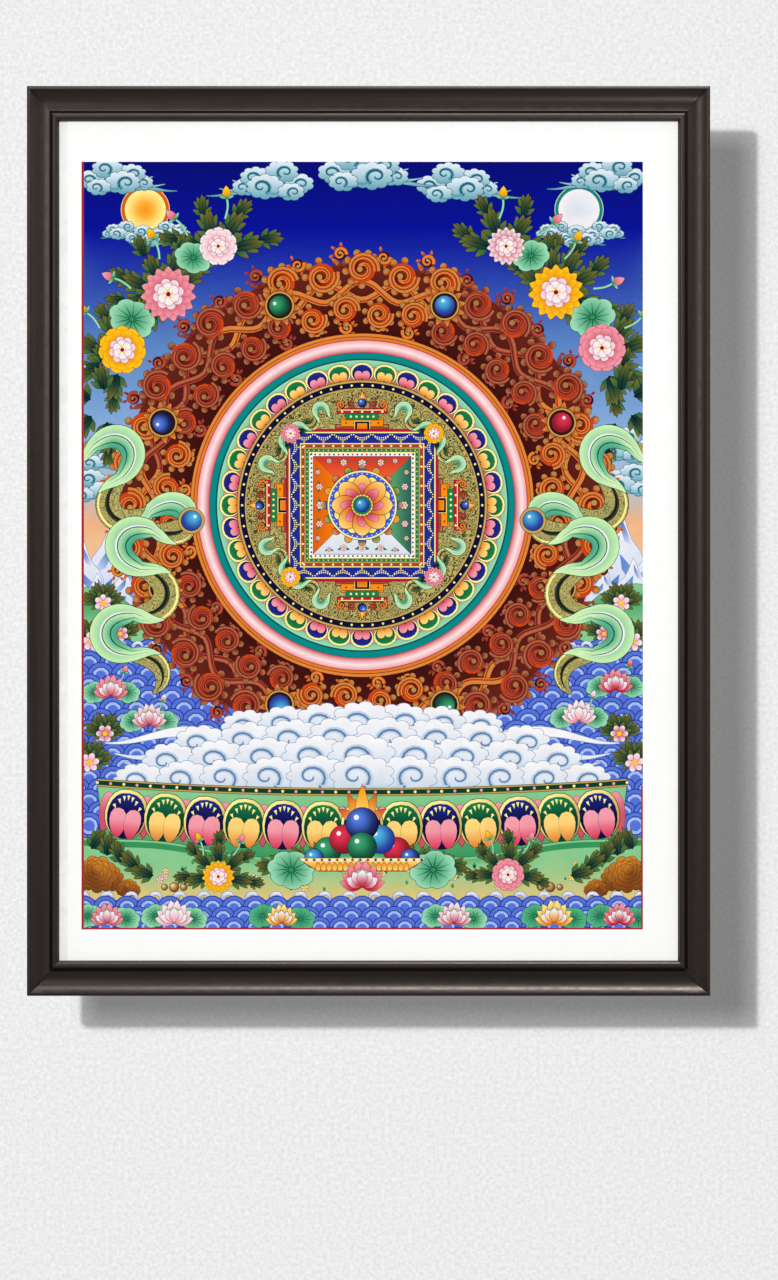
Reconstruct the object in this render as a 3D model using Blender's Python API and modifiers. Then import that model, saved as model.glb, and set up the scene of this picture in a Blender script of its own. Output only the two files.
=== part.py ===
"""A painted cloth, mounted on a white board in a mitred wooden picture frame.

The picture hangs on a wall: the wall is the plane Y = 0, the picture faces -Y and +Z is up.
The origin is the middle of the flat back of the top rail.  All sizes are in metres.
"""

import math

import bmesh
import bpy
from mathutils import Vector

# ---- driving dimensions -------------------------------------------------------------------

CLOTH_WIDTH = 0.5850
CLOTH_HEIGHT = 0.8000
CLOTH_THICKNESS = 0.0010
CLOTH_RIGHT_OF_CENTRE = -0.0067  # the cloth sits a little left of the frame's middle line
CLOTH_ABOVE_CENTRE = -0.0047  # and a little below it

OPENING_WIDTH = 0.6446  # between the inner edges of the side rails
OPENING_HEIGHT = 0.8743
SIDE_RAIL_WIDTH = 0.0333
END_RAIL_WIDTH = 0.0364  # the top and bottom rails show a little wider

FRAME_DEPTH = 0.0280
REBATE_WIDTH = 0.0060  # how far the lip reaches over the boards
LIP_UNDERSIDE = 0.0150  # height of the rebate's shoulder above the wall
SIGHT_EDGE_HEIGHT = 0.0195  # height of the lip's front edge above the wall

BOARD_THICKNESS = 0.0020
BACKING_THICKNESS = 0.0030
BOARD_LEFT_GAP = 0.0080  # the strip of backing that shows beside the board
BOARD_SIDE_PLAY = 0.0010  # between a board's edge and the rebate

GAP = 0.0003  # between two pieces that touch

# ---- the moulding's front, as shares of its width and heights above the wall ----------------

OUTER_ROUNDING = 0.0022
CREST_FLAT = 0.0012
COVE_RADIUS = 0.0190
COVE_LOWEST_SHARE = 0.53  # where the hollow is lowest
QUIRK_START_SHARE = 0.700  # the narrow dark groove
QUIRK_END_SHARE = 0.765
QUIRK_FLOOR = 0.0186
BEAD_CREST_SHARE = 0.845
BEAD_CREST_HEIGHT = 0.0234
BEAD_FOOT_HEIGHT = 0.0212
SIGHT_EDGE_ROUNDING = 0.0008

COVE_STEPS = 22
ROUNDING_STEPS = 6
BEAD_STEPS = 9

# ---- sizes worked out from them --------------------------------------------------------------

FRAME_WIDTH = OPENING_WIDTH + 2.0 * SIDE_RAIL_WIDTH
FRAME_HEIGHT = OPENING_HEIGHT + 2.0 * END_RAIL_WIDTH
BACK_FLAT_WIDTH = END_RAIL_WIDTH - REBATE_WIDTH  # of the top and bottom rails
CENTRE_Z = 0.5 * BACK_FLAT_WIDTH - 0.5 * FRAME_HEIGHT  # the frame's middle, seen from the origin

BOARD_FRONT = LIP_UNDERSIDE - GAP
BOARD_BACK = BOARD_FRONT - BOARD_THICKNESS
BACKING_FRONT = BOARD_BACK - GAP
BACKING_BACK = BACKING_FRONT - BACKING_THICKNESS
CLOTH_BACK = BOARD_FRONT + GAP
CLOTH_FRONT = CLOTH_BACK + CLOTH_THICKNESS


# ---- scene, collections and materials ----------------------------------------------------------

def clear_scene():
    for old in list(bpy.data.objects):
        bpy.data.objects.remove(old, do_unlink=True)


def make_collection(name):
    collection = bpy.data.collections.new(name)
    bpy.context.scene.collection.children.link(collection)
    return collection


def make_material(name, colour, roughness, metallic=0.0):
    material = bpy.data.materials.new(name)
    material.use_nodes = True
    shader = material.node_tree.nodes["Principled BSDF"]
    shader.inputs["Base Color"].default_value = (*colour, 1.0)
    shader.inputs["Roughness"].default_value = roughness
    shader.inputs["Metallic"].default_value = metallic
    material.diffuse_color = (*colour, 1.0)
    return material


def add_object(name, bm, material, collection):
    """Turns a bmesh into a named object whose faces point outwards."""
    bmesh.ops.recalc_face_normals(bm, faces=bm.faces)
    mesh = bpy.data.meshes.new(name)
    bm.to_mesh(mesh)
    bm.free()
    piece = bpy.data.objects.new(name, mesh)
    piece.data.materials.append(material)
    collection.objects.link(piece)
    return piece


# ---- the moulding ------------------------------------------------------------------------------

def arc(centre, radii, start_degrees, end_degrees, steps):
    """Points along part of an ellipse, as pairs (distance in from the outer edge, height)."""
    points = []
    for step in range(steps + 1):
        angle = math.radians(start_degrees + (end_degrees - start_degrees) * step / steps)
        across = centre[0] + radii[0] * math.cos(angle)
        height = centre[1] + radii[1] * math.sin(angle)
        points.append((across, height))
    return points


def cove_height(across, lowest_at, lowest_height):
    """Height of the hollow's circular arc at a distance from the outer edge."""
    sideways = across - lowest_at
    return lowest_height + COVE_RADIUS - math.sqrt(COVE_RADIUS**2 - sideways**2)


def moulding_outline(width):
    """Cross-section of a rail, as pairs (distance in from the outer edge, height above the wall).

    From the outer edge inwards: a rounded edge, a narrow crest, a hollow that is steep by the
    crest, a narrow groove, a small bead that falls to the sight edge, and the rebate behind it.
    """
    crest_end = OUTER_ROUNDING + CREST_FLAT
    lowest_at = COVE_LOWEST_SHARE * width
    lowest_height = FRAME_DEPTH - (cove_height(crest_end, lowest_at, 0.0))
    quirk_start = QUIRK_START_SHARE * width
    quirk_end = QUIRK_END_SHARE * width
    bead_crest = BEAD_CREST_SHARE * width

    outline = [(0.0, 0.0)]
    outline += arc(
        (OUTER_ROUNDING, FRAME_DEPTH - OUTER_ROUNDING),
        (OUTER_ROUNDING, OUTER_ROUNDING), 180.0, 90.0, ROUNDING_STEPS,
    )
    for step in range(COVE_STEPS + 1):
        across = crest_end + (quirk_start - crest_end) * step / COVE_STEPS
        outline.append((across, cove_height(across, lowest_at, lowest_height)))

    quirk_radius = 0.5 * (quirk_end - quirk_start)
    outline += arc(
        (quirk_start + quirk_radius, QUIRK_FLOOR + quirk_radius),
        (quirk_radius, quirk_radius), 180.0, 360.0, ROUNDING_STEPS,
    )
    outline += arc(
        (bead_crest, BEAD_FOOT_HEIGHT),
        (bead_crest - quirk_end, BEAD_CREST_HEIGHT - BEAD_FOOT_HEIGHT), 180.0, 90.0, BEAD_STEPS,
    )
    sight_round_at = width - SIGHT_EDGE_ROUNDING
    outline += arc(
        (bead_crest, SIGHT_EDGE_HEIGHT),
        (sight_round_at - bead_crest, BEAD_CREST_HEIGHT - SIGHT_EDGE_HEIGHT),
        90.0, 14.0, BEAD_STEPS,
    )[1:]
    outline.append((width, SIGHT_EDGE_HEIGHT))
    outline.append((width, LIP_UNDERSIDE))
    outline.append((width - REBATE_WIDTH, LIP_UNDERSIDE))
    outline.append((width - REBATE_WIDTH, 0.0))
    return outline


def make_rail(name, length, width, next_rail_width, turn_degrees, outer_edge, material, collection):
    """A length of moulding with both ends cut to the corners' mitres.

    It is made along +X with its outer edge at Z = 0 and its width running down, turned about Y
    so that its outer edge faces out of the frame, and moved so that the edge's middle is at
    outer_edge.  The mitre runs from the outer corner to the corner of the opening.
    """
    outline = moulding_outline(width)
    bm = bmesh.new()
    ring = [bm.verts.new((-0.5 * length, -height, -across)) for across, height in outline]
    section = bm.faces.new(ring)
    swept = bmesh.ops.extrude_face_region(bm, geom=[section])
    moved = [item for item in swept["geom"] if isinstance(item, bmesh.types.BMVert)]
    bmesh.ops.translate(bm, verts=moved, vec=(length, 0.0, 0.0))

    # The joint between two rails is open by the gap, shared between the two.
    for side in (-1.0, 1.0):
        normal = Vector((side * width, 0.0, -next_rail_width)).normalized()
        corner = Vector((side * 0.5 * length, 0.0, 0.0)) - 0.5 * GAP * normal
        everything = bm.verts[:] + bm.edges[:] + bm.faces[:]
        bmesh.ops.bisect_plane(
            bm, geom=everything, plane_co=corner, plane_no=normal, clear_outer=True,
        )
        open_edges = [edge for edge in bm.edges if edge.is_boundary]
        bmesh.ops.contextual_create(bm, geom=open_edges)

    rail = add_object(name, bm, material, collection)
    rail.rotation_euler = (0.0, math.radians(turn_degrees), 0.0)
    rail.location = outer_edge
    return rail


def make_frame(material, collection):
    half_width = 0.5 * FRAME_WIDTH
    half_height = 0.5 * FRAME_HEIGHT
    ends = (END_RAIL_WIDTH, SIDE_RAIL_WIDTH)
    sides = (SIDE_RAIL_WIDTH, END_RAIL_WIDTH)
    rails = (
        ("frame_top", FRAME_WIDTH, ends, 0.0, (0.0, half_height)),
        ("frame_right", FRAME_HEIGHT, sides, 90.0, (half_width, 0.0)),
        ("frame_bottom", FRAME_WIDTH, ends, 180.0, (0.0, -half_height)),
        ("frame_left", FRAME_HEIGHT, sides, 270.0, (-half_width, 0.0)),
    )
    for name, length, (width, next_width), turn, (x, z) in rails:
        outer_edge = (x, 0.0, CENTRE_Z + z)
        make_rail(name, length, width, next_width, turn, outer_edge, material, collection)


# ---- the boards and the cloth ------------------------------------------------------------------

def make_sheet(name, left, right, bottom, top, back, front, material, collection, bevel=0.0):
    """A flat sheet between two heights above the wall, from a cube primitive."""
    bm = bmesh.new()
    bmesh.ops.create_cube(bm, size=1.0)
    size = Vector((right - left, front - back, top - bottom))
    bmesh.ops.scale(bm, verts=bm.verts, vec=size)
    middle = Vector((0.5 * (left + right), -0.5 * (front + back), 0.5 * (bottom + top)))
    sheet = add_object(name, bm, material, collection)
    sheet.location = middle
    if bevel > 0.0:
        rounding = sheet.modifiers.new("Rounded edges", "BEVEL")
        rounding.width = bevel
        rounding.segments = 2
    return sheet


def make_boards(board_material, backing_material, collection):
    reach_x = 0.5 * OPENING_WIDTH + REBATE_WIDTH - BOARD_SIDE_PLAY
    reach_z = 0.5 * OPENING_HEIGHT + REBATE_WIDTH - BOARD_SIDE_PLAY
    board_left = -0.5 * OPENING_WIDTH + BOARD_LEFT_GAP
    make_sheet(
        "mount_board", board_left, reach_x, CENTRE_Z - reach_z, CENTRE_Z + reach_z,
        BOARD_BACK, BOARD_FRONT, board_material, collection,
    )
    make_sheet(
        "backing_board", -reach_x, reach_x, CENTRE_Z - reach_z, CENTRE_Z + reach_z,
        BACKING_BACK, BACKING_FRONT, backing_material, collection,
    )


def make_cloth(material, collection):
    left = CLOTH_RIGHT_OF_CENTRE - 0.5 * CLOTH_WIDTH
    bottom = CENTRE_Z + CLOTH_ABOVE_CENTRE - 0.5 * CLOTH_HEIGHT
    make_sheet(
        "painted_cloth", left, left + CLOTH_WIDTH, bottom, bottom + CLOTH_HEIGHT,
        CLOTH_BACK, CLOTH_FRONT, material, collection, bevel=0.25 * CLOTH_THICKNESS,
    )


def main():
    clear_scene()
    parts = make_collection("framed_thangka")
    frame_wood = make_material("frame_wood", (0.030, 0.022, 0.018), 0.38)
    white_board = make_material("white_board", (0.90, 0.90, 0.89), 0.85)
    grey_board = make_material("grey_board", (0.78, 0.78, 0.77), 0.90)
    painted_cotton = make_material("painted_cotton", (0.35, 0.22, 0.20), 0.80)
    make_frame(frame_wood, parts)
    make_boards(white_board, grey_board, parts)
    make_cloth(painted_cotton, parts)


main()
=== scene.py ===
# %% [markdown]
# # A painted thangka on its board, in a wooden frame
#
# The object is a flat cotton cloth painted in mineral colours.  It is mounted a little off-centre
# on a white board, and a dark mitred frame holds the board on a wall.  Each step below makes one
# piece or one finish.  The model is in metres, +Z is up and the picture faces -Y.  The painting is
# laid out in millimetres of cloth, from the middle of the cloth, with x to the right and y up.

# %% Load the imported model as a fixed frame
import math
from itertools import chain

import bpy
import numpy as np
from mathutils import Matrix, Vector
from mathutils.bvhtree import BVHTree
from mathutils.geometry import delaunay_2d_cdt


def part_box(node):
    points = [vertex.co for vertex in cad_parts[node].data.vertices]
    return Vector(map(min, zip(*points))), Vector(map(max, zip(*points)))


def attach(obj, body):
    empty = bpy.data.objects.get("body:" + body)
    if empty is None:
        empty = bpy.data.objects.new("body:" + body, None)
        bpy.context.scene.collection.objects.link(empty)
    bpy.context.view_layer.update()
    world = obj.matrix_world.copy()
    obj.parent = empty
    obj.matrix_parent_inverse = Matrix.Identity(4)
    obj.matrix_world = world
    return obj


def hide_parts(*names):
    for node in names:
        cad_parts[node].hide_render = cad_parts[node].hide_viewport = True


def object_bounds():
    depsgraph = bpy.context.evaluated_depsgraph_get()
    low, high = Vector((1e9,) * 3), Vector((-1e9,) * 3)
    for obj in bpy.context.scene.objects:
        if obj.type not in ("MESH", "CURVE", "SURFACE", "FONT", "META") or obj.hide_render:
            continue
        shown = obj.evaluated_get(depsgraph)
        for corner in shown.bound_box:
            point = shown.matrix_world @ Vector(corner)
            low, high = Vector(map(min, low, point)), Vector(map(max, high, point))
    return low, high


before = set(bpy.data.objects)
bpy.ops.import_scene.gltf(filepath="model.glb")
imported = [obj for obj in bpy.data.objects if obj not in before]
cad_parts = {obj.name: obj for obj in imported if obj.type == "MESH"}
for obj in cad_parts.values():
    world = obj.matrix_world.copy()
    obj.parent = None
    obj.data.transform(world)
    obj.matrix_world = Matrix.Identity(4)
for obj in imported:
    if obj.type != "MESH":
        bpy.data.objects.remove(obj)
CAD_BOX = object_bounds()
LOW, HIGH = (np.array(corner) for corner in CAD_BOX)
CLOTH_LOW, CLOTH_HIGH = (np.array(corner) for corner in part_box("painted_cloth"))
MIDDLE = 0.5 * (LOW + HIGH)
MM = 0.001
print("frame", np.round((HIGH - LOW) / MM, 1), "mm; cloth", np.round((CLOTH_HIGH - CLOTH_LOW) / MM, 1), "mm")

# %% [markdown]
# ## The camera
#
# The photograph looks straight at the picture with hardly any perspective, so the camera has a
# long lens and stands far back.  The cloth's height in metres and in pixels of the 778 by 1280
# photograph gives the size of one pixel, and that gives the whole view.

# %% A long lens, square to the picture
PHOTO_WIDTH, PHOTO_HEIGHT = 778, 1280
FRAME_MIDDLE_X_PX, FRAME_MIDDLE_Y_PX = 368.6, 541.05
CLOTH_HEIGHT_PX = 767.6
PIXEL = (CLOTH_HIGH[2] - CLOTH_LOW[2]) / CLOTH_HEIGHT_PX
LENS, SENSOR = 200.0, 36.0


def add_camera():
    """It stands back by half the view's height / (half the sensor / the lens)."""
    data = bpy.data.cameras.new("camera")
    data.lens = LENS
    data.sensor_width = SENSOR
    camera = bpy.data.objects.new("camera", data)
    bpy.context.scene.collection.objects.link(camera)
    right = (0.5 * PHOTO_WIDTH - FRAME_MIDDLE_X_PX) * PIXEL
    down = (0.5 * PHOTO_HEIGHT - FRAME_MIDDLE_Y_PX) * PIXEL
    distance = 0.5 * PHOTO_HEIGHT * PIXEL / (0.5 * SENSOR / LENS)
    camera.location = (MIDDLE[0] + right, CLOTH_LOW[1] - distance, MIDDLE[2] - down)
    camera.rotation_euler = (0.5 * math.pi, 0.0, 0.0)
    bpy.context.scene.camera = camera
    return distance


print("camera stands", round(add_camera(), 2), "m back; one pixel is", round(PIXEL / MM, 3), "mm")

# %% [markdown]
# ## From arrays to meshes
#
# Every new piece is worked out as whole numpy arrays, and these helpers turn them into a mesh,
# store a value for each point or face corner, and measure the result.  A closed piece whose faces
# point outwards has a positive volume, so the printed volume also shows that none is inside out.

# %% Helpers that build and measure a mesh


def pairs(x, y):
    """One row for each x with its y."""
    return np.stack([x, y], axis=1)


def add_mesh(name, points, faces, smooth_under=None):
    """One object at the origin, from an array of points and lists of point numbers."""
    mesh = bpy.data.meshes.new(name)
    mesh.from_pydata(points.tolist(), [], faces)
    piece = bpy.data.objects.new(name, mesh)
    bpy.context.scene.collection.objects.link(piece)
    if smooth_under is not None:
        mesh.shade_smooth()
        mesh.set_sharp_from_angle(angle=math.radians(smooth_under))
    return piece


def grid_faces(rows, columns):
    """Faces between the neighbours of a grid stored row by row, whose columns close on themselves."""
    row, column = np.meshgrid(np.arange(rows - 1), np.arange(columns), indexing="ij")
    here = row * columns + column
    beside = row * columns + (column + 1) % columns
    return np.stack([here, beside, beside + columns, here + columns], axis=-1).reshape(-1, 4)


def corner_points(mesh):
    """The point number of each face corner."""
    numbers = np.empty(len(mesh.loops), np.int32)
    mesh.loops.foreach_get("vertex_index", numbers)
    return numbers


def set_attribute(mesh, name, kind, domain, values):
    """Store one value for each corner or point, for a material to read."""
    layer = mesh.attributes.new(name, kind, domain)
    key = "color" if kind == "FLOAT_COLOR" else "value"
    layer.data.foreach_set(key, np.ascontiguousarray(values, np.float32).ravel())


def set_uv(mesh, name, uv_of_points):
    """A UV map with one place for each point."""
    layer = mesh.uv_layers.new(name=name)
    layer.data.foreach_set("uv", uv_of_points[corner_points(mesh)].astype(np.float32).ravel())


def report(piece):
    """Volume = the sum of the corner determinants of its triangles / 6."""
    mesh = piece.data
    mesh.calc_loop_triangles()
    triangles = np.empty(3 * len(mesh.loop_triangles), np.int32)
    mesh.loop_triangles.foreach_get("vertices", triangles)
    points = np.empty(3 * len(mesh.vertices), np.float32)
    mesh.vertices.foreach_get("co", points)
    corners = points.reshape(-1, 3)[triangles.reshape(-1, 3)].astype(float)
    volume = np.linalg.det(corners).sum() / 6.0
    print(f"{piece.name}: {len(triangles) // 3} triangles, {volume / MM**3 / 1000:.1f} cm3")


def finish_piece(piece, node):
    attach(piece, "root")
    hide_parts(node)
    report(piece)


print("a grid of 3 rows and 4 columns has", len(grid_faces(3, 4)), "faces")


# %% [markdown]
# ## The moulding
#
# A frame moulding is one cross-section carried along a straight length and cut at both ends to a
# mitre.  From the outer edge inwards the photo shows a rounded edge and a narrow crest, a wide
# hollow, a thin dark groove and a small bead that falls to the opening; behind it a step holds the
# boards.  A profile carried along a path gives all of this at once, for all four rails.

# %% Cross-section of the moulding: distance in from the outer edge, height above the wall
SIDE_WIDTH = 33.3 * MM
END_WIDTH = 36.4 * MM
DEPTH = 28.0 * MM
LIP_WIDTH = 6.0 * MM
LIP_UNDERSIDE = 15.0 * MM
SIGHT_HEIGHT = 19.5 * MM
EDGE_ROUNDING = 2.2 * MM
CREST_FLAT = 1.2 * MM
HOLLOW_RADIUS = 19.0 * MM
HOLLOW_LOWEST = 0.53
GROOVE_FROM, GROOVE_TO = 0.7, 0.765
GROOVE_FLOOR = 18.6 * MM
BEAD_CREST, BEAD_HEIGHT, BEAD_FOOT = 0.845, 23.4 * MM, 21.2 * MM
SIGHT_ROUNDING = 0.8 * MM
BACK_ROUNDING = 0.6 * MM


def arc(centre, across, high, start, end, steps):
    """Points of an ellipse: centre + (across * cos, high * sin) of evenly spaced degrees."""
    angle = np.radians(np.linspace(start, end, steps))
    return pairs(centre[0] + across * np.cos(angle), centre[1] + high * np.sin(angle))


def moulding_profile(width):
    """Arcs for the edge, groove and bead; in the hollow the height above its lowest point is
    R - sqrt(R^2 - x^2), where x is the distance from that point."""
    lowest_at = HOLLOW_LOWEST * width
    across = np.linspace(EDGE_ROUNDING + CREST_FLAT, GROOVE_FROM * width, 56)
    rise = HOLLOW_RADIUS - np.sqrt(HOLLOW_RADIUS**2 - (across - lowest_at) ** 2)
    hollow = pairs(across, DEPTH - rise[0] + rise)
    groove = 0.5 * (GROOVE_TO - GROOVE_FROM) * width
    bead_at = BEAD_CREST * width
    inner = width - SIGHT_ROUNDING
    edge_middle = (EDGE_ROUNDING, DEPTH - EDGE_ROUNDING)
    return np.concatenate(
        [
            arc((BACK_ROUNDING, BACK_ROUNDING), BACK_ROUNDING, BACK_ROUNDING, 270.0, 180.0, 5),
            arc(edge_middle, EDGE_ROUNDING, EDGE_ROUNDING, 180.0, 90.0, 16),
            hollow,
            arc((GROOVE_FROM * width + groove, GROOVE_FLOOR + groove), groove, groove, 180.0, 360.0, 13),
            arc((bead_at, BEAD_FOOT), bead_at - GROOVE_TO * width, BEAD_HEIGHT - BEAD_FOOT, 178.0, 90.0, 14),
            arc((bead_at, SIGHT_HEIGHT), inner - bead_at, BEAD_HEIGHT - SIGHT_HEIGHT, 87.0, 16.0, 20),
            arc((inner, SIGHT_HEIGHT), SIGHT_ROUNDING, SIGHT_ROUNDING, 36.0, 0.0, 5),
            np.array([[width, LIP_UNDERSIDE], [width - LIP_WIDTH, LIP_UNDERSIDE], [width - LIP_WIDTH, 0.0]]),
        ]
    )


print("the moulding's profile has", len(moulding_profile(SIDE_WIDTH)), "points")

# %% Four rails, each carried between its two mitres
STATIONS = 25
MITRE_GAP = 0.05 * MM
SMOOTH_UNDER = 48.0
# Widths of the worn, painted-highlight bands on crest and bead, and of the painted shade on the bead's flank
CREST_WEAR_AND_HIGHLIGHT, BEAD_WEAR_AND_HIGHLIGHT, FLANK_SHADE_WIDTH = 1.1 * MM, 0.9 * MM, 1.0 * MM


def make_rail(name, node, length, width, next_width, half_span, turn):
    """Point (u, v): profile point v, at the share u of the way between the two mitres.  Half the
    rail's length there = half its outer length - distance in * next rail's width / own width.
    Stored for the finish: the grain's map, a mask for the crest and bead, lighter as worn lacquer and
    as a painted highlight, and a mask of painted shade in the groove and on the bead's flank."""
    profile = moulding_profile(width)
    across, height = profile.T
    gap = 0.5 * MITRE_GAP * math.hypot(next_width, width) / width
    reach = 0.5 * length - across * next_width / width - gap
    along = np.linspace(-1.0, 1.0, STATIONS)[:, None] * reach
    out = np.broadcast_to(half_span - across, along.shape)
    cos, sin = math.cos(math.radians(turn)), math.sin(math.radians(turn))
    x = MIDDLE[0] + cos * along + sin * out
    z = MIDDLE[2] - sin * along + cos * out
    points = np.stack([x, np.broadcast_to(-height, x.shape), z], axis=-1).reshape(-1, 3)
    count = len(profile)
    caps = [list(range(count))[::-1], list(range((STATIONS - 1) * count, STATIONS * count))]
    rail = add_mesh(name, points, grid_faces(STATIONS, count).tolist() + caps, SMOOTH_UNDER)
    girth = np.concatenate([[0.0], np.cumsum(np.hypot(*np.diff(profile, axis=0).T))])
    grain = np.stack([along, np.broadcast_to(girth, along.shape)], axis=-1).reshape(-1, 2)
    set_uv(rail.data, "Grain", grain)
    # Crest and bead: worn lacquer and a painted highlight, lighter and warmer.
    near_crest = np.exp(-(((across - EDGE_ROUNDING) / CREST_WEAR_AND_HIGHLIGHT) ** 2)) * (height > DEPTH - 3.0 * MM)
    near_bead = np.exp(-(((across - BEAD_CREST * width) / BEAD_WEAR_AND_HIGHLIGHT) ** 2)) * (height > SIGHT_HEIGHT)
    # Groove and the bead's flank: painted shade, darker deeper in the groove.
    in_groove = (across > (GROOVE_FROM - 0.01) * width) & (across < (GROOVE_TO + 0.01) * width)
    in_groove = in_groove * np.clip((DEPTH - 5.2 * MM - height) / (2.0 * MM), 0.0, 1.0)
    flank = 0.7 * np.exp(-(((across - (GROOVE_TO + 0.03) * width) / FLANK_SHADE_WIDTH) ** 2))
    groove_shade = np.maximum(in_groove, flank)
    for key, values in (("WearAndHighlight", np.maximum(near_crest, near_bead)), ("PaintedGrooveShade", groove_shade)):
        set_attribute(rail.data, key, "FLOAT", "POINT", np.broadcast_to(values, along.shape).ravel())
    finish_piece(rail, node)
    return rail


WIDTH, HEIGHT = HIGH[0] - LOW[0], HIGH[2] - LOW[2]
rails = [
    make_rail("rail_top", "frame_top", WIDTH, END_WIDTH, SIDE_WIDTH, 0.5 * HEIGHT, 0),
    make_rail("rail_right", "frame_right", HEIGHT, SIDE_WIDTH, END_WIDTH, 0.5 * WIDTH, 90),
    make_rail("rail_bottom", "frame_bottom", WIDTH, END_WIDTH, SIDE_WIDTH, 0.5 * HEIGHT, 180),
    make_rail("rail_left", "frame_left", HEIGHT, SIDE_WIDTH, END_WIDTH, 0.5 * WIDTH, 270),
]

# %% [markdown]
# ## The boards
#
# The cloth lies on a white board and a pale grey board closes the back.  Both are cut card: thin
# slabs whose edges are softened by the knife and by handling.  The softened edge is a small profile
# carried round the rectangle, and one flat face closes the front and one the back.

# %% Two cut boards with softened edges


def make_board(name, node, softening):
    """Point (u, v): corner v of the rectangle, drawn in by softening * (1 - cos) and moved from
    the front towards the back by softening * (1 - sin) of the profile's angle u."""
    low, high = (np.array(corner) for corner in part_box(node))
    angle = np.radians(np.linspace(0.0, 90.0, 5))
    inset = softening * (1.0 - np.sin(angle))
    depth = softening * (1.0 - np.cos(angle))
    inset = np.concatenate([inset, inset[::-1]])
    y = np.concatenate([low[1] + depth, high[1] - depth[::-1]])
    x = np.stack([low[0] + inset, high[0] - inset, high[0] - inset, low[0] + inset], axis=1)
    z = np.stack([low[2] + inset, low[2] + inset, high[2] - inset, high[2] - inset], axis=1)
    points = np.stack([x, np.broadcast_to(y[:, None], x.shape), z], axis=-1).reshape(-1, 3)
    rows = len(y)
    faces = grid_faces(rows, 4)[:, ::-1].tolist()
    faces += [[0, 1, 2, 3], [4 * rows - 1, 4 * rows - 2, 4 * rows - 3, 4 * rows - 4]]
    return add_mesh(name, points, faces, smooth_under=50.0)


mount_board = make_board("mount_board_card", "mount_board", 0.25 * MM)
finish_piece(mount_board, "mount_board")
backing_board = make_board("backing_board_card", "backing_board", 0.4 * MM)
finish_piece(backing_board, "backing_board")

# %% [markdown]
# ## The painting's plan
#
# The cloth carries a wheel with a square palace in it, among clouds, snow peaks, water and flowers,
# all of them shapes that painters of this kind have shared for centuries.  They could be drawn with
# noise in a shader, but a thangka's edges are crisp and each shape is shaded by itself, so here each
# brush shape is an outline with two colours, and all the outlines are later cut into one mesh.

# %% Palette, in screen values
WIDE, TALL = np.round((CLOTH_HIGH - CLOTH_LOW)[[0, 2]] / MM, 1)


def rgb(red, green, blue):
    """A colour from its values on a screen."""
    return np.array([red, green, blue], float) / 255.0


def shades(*colours):
    """Several colours at once, each a row of red, green and blue."""
    return np.array(colours, float) / 255.0


NIGHT, DEEP_BLUE, SKY, PALE_SKY = shades((1, 5, 112), (1, 12, 148), (86, 128, 192), (134, 172, 214))
PEACH, SAND, INK, WHITE = shades((236, 178, 132), (250, 214, 170), (12, 18, 30), (242, 240, 242))
CLOUD, CLOUD_SHADE, CLOUD_LINE = shades((226, 236, 246), (92, 158, 174), (14, 70, 92))
BANK, BANK_SHADE, BANK_LINE = shades((246, 244, 246), (190, 208, 228), (96, 130, 172))
LEAF, LEAF_DARK, OLIVE_TIP = shades((18, 96, 62), (4, 48, 46), (126, 112, 38))
MINT, MINT_DEEP, FOREST = shades((156, 218, 180), (48, 142, 96), (8, 84, 58))
SILK_PALE, SILK_DEEP = shades((204, 240, 178), (66, 164, 132))
PINK, ROSE, BLUSH, WINE = shades((244, 158, 170), (206, 84, 104), (252, 226, 224), (120, 18, 30))
YELLOW, AMBER, SAFFRON, SAFFRON_DEEP = shades((254, 202, 24), (232, 128, 10), (250, 142, 4), (222, 92, 6))
BRICK, BRICK_DARK, MAROON, EMBER = shades((166, 66, 44), (104, 34, 24), (58, 10, 8), (206, 66, 16))
ORANGE, CRIMSON, CREAM, SHELL = shades((226, 132, 52), (190, 22, 52), (255, 214, 122), (214, 222, 232))
OLIVE, OLIVE_DARK, TEAL, TEAL_DARK = shades((118, 124, 74), (50, 58, 34), (0, 136, 132), (0, 84, 90))
NAVY, NAVY_DARK, GREEN, GREEN_DARK = shades((28, 40, 140), (8, 10, 52), (20, 128, 72), (4, 60, 44))
GOLD, GOLD_PALE, GOLD_DARK = shades((200, 164, 84), (252, 240, 150), (110, 80, 30))
WATER, WATER_DARK, WATER_PALE = shades((84, 114, 212), (34, 54, 150), (164, 188, 244))
MEADOW, MEADOW_DEEP, MEADOW_SUN = shades((134, 200, 142), (52, 146, 88), (226, 196, 122))
ROCK, ROCK_DARK, BORDER_RED = shades((222, 142, 44), (112, 58, 22), (168, 40, 44))
JEWELS = (
    (GREEN + 0.15, GREEN_DARK), (rgb(84, 130, 236), NAVY_DARK), (rgb(230, 50, 80), WINE),
    (rgb(80, 186, 226), NAVY),
)
print("the cloth is", WIDE, "by", TALL, "mm; jewels in", len(JEWELS), "colours")

# %% [markdown]
# ## A brush stroke as data
#
# A shape is an outline, two colours and the way from one to the other: none, along a line, or out
# from a middle.  A place is a 3 by 3 matrix, so that a motif drawn once at unit size can be moved,
# turned, scaled and mirrored, and a motif within a motif is one matrix times another.

# %% Places, and the list of painted shapes
brushwork = []
FLAT, LINEAR, ROUND = 0.0, 1.0, 2.0
EVEN = (FLAT, 0.0, 0.0, 0.0, 0.0)
LINE = 0.55


def at(x=0.0, y=0.0, turn=0.0, size=1.0, mirror=1.0):
    """A place: mirrored, then turned by degrees, scaled and moved."""
    c, s = size * math.cos(math.radians(turn)), size * math.sin(math.radians(turn))
    return np.array([[mirror * c, -s, x], [mirror * s, c, y], [0.0, 0.0, 1.0]])


WHEEL = at(0.0, 42.0)


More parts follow.
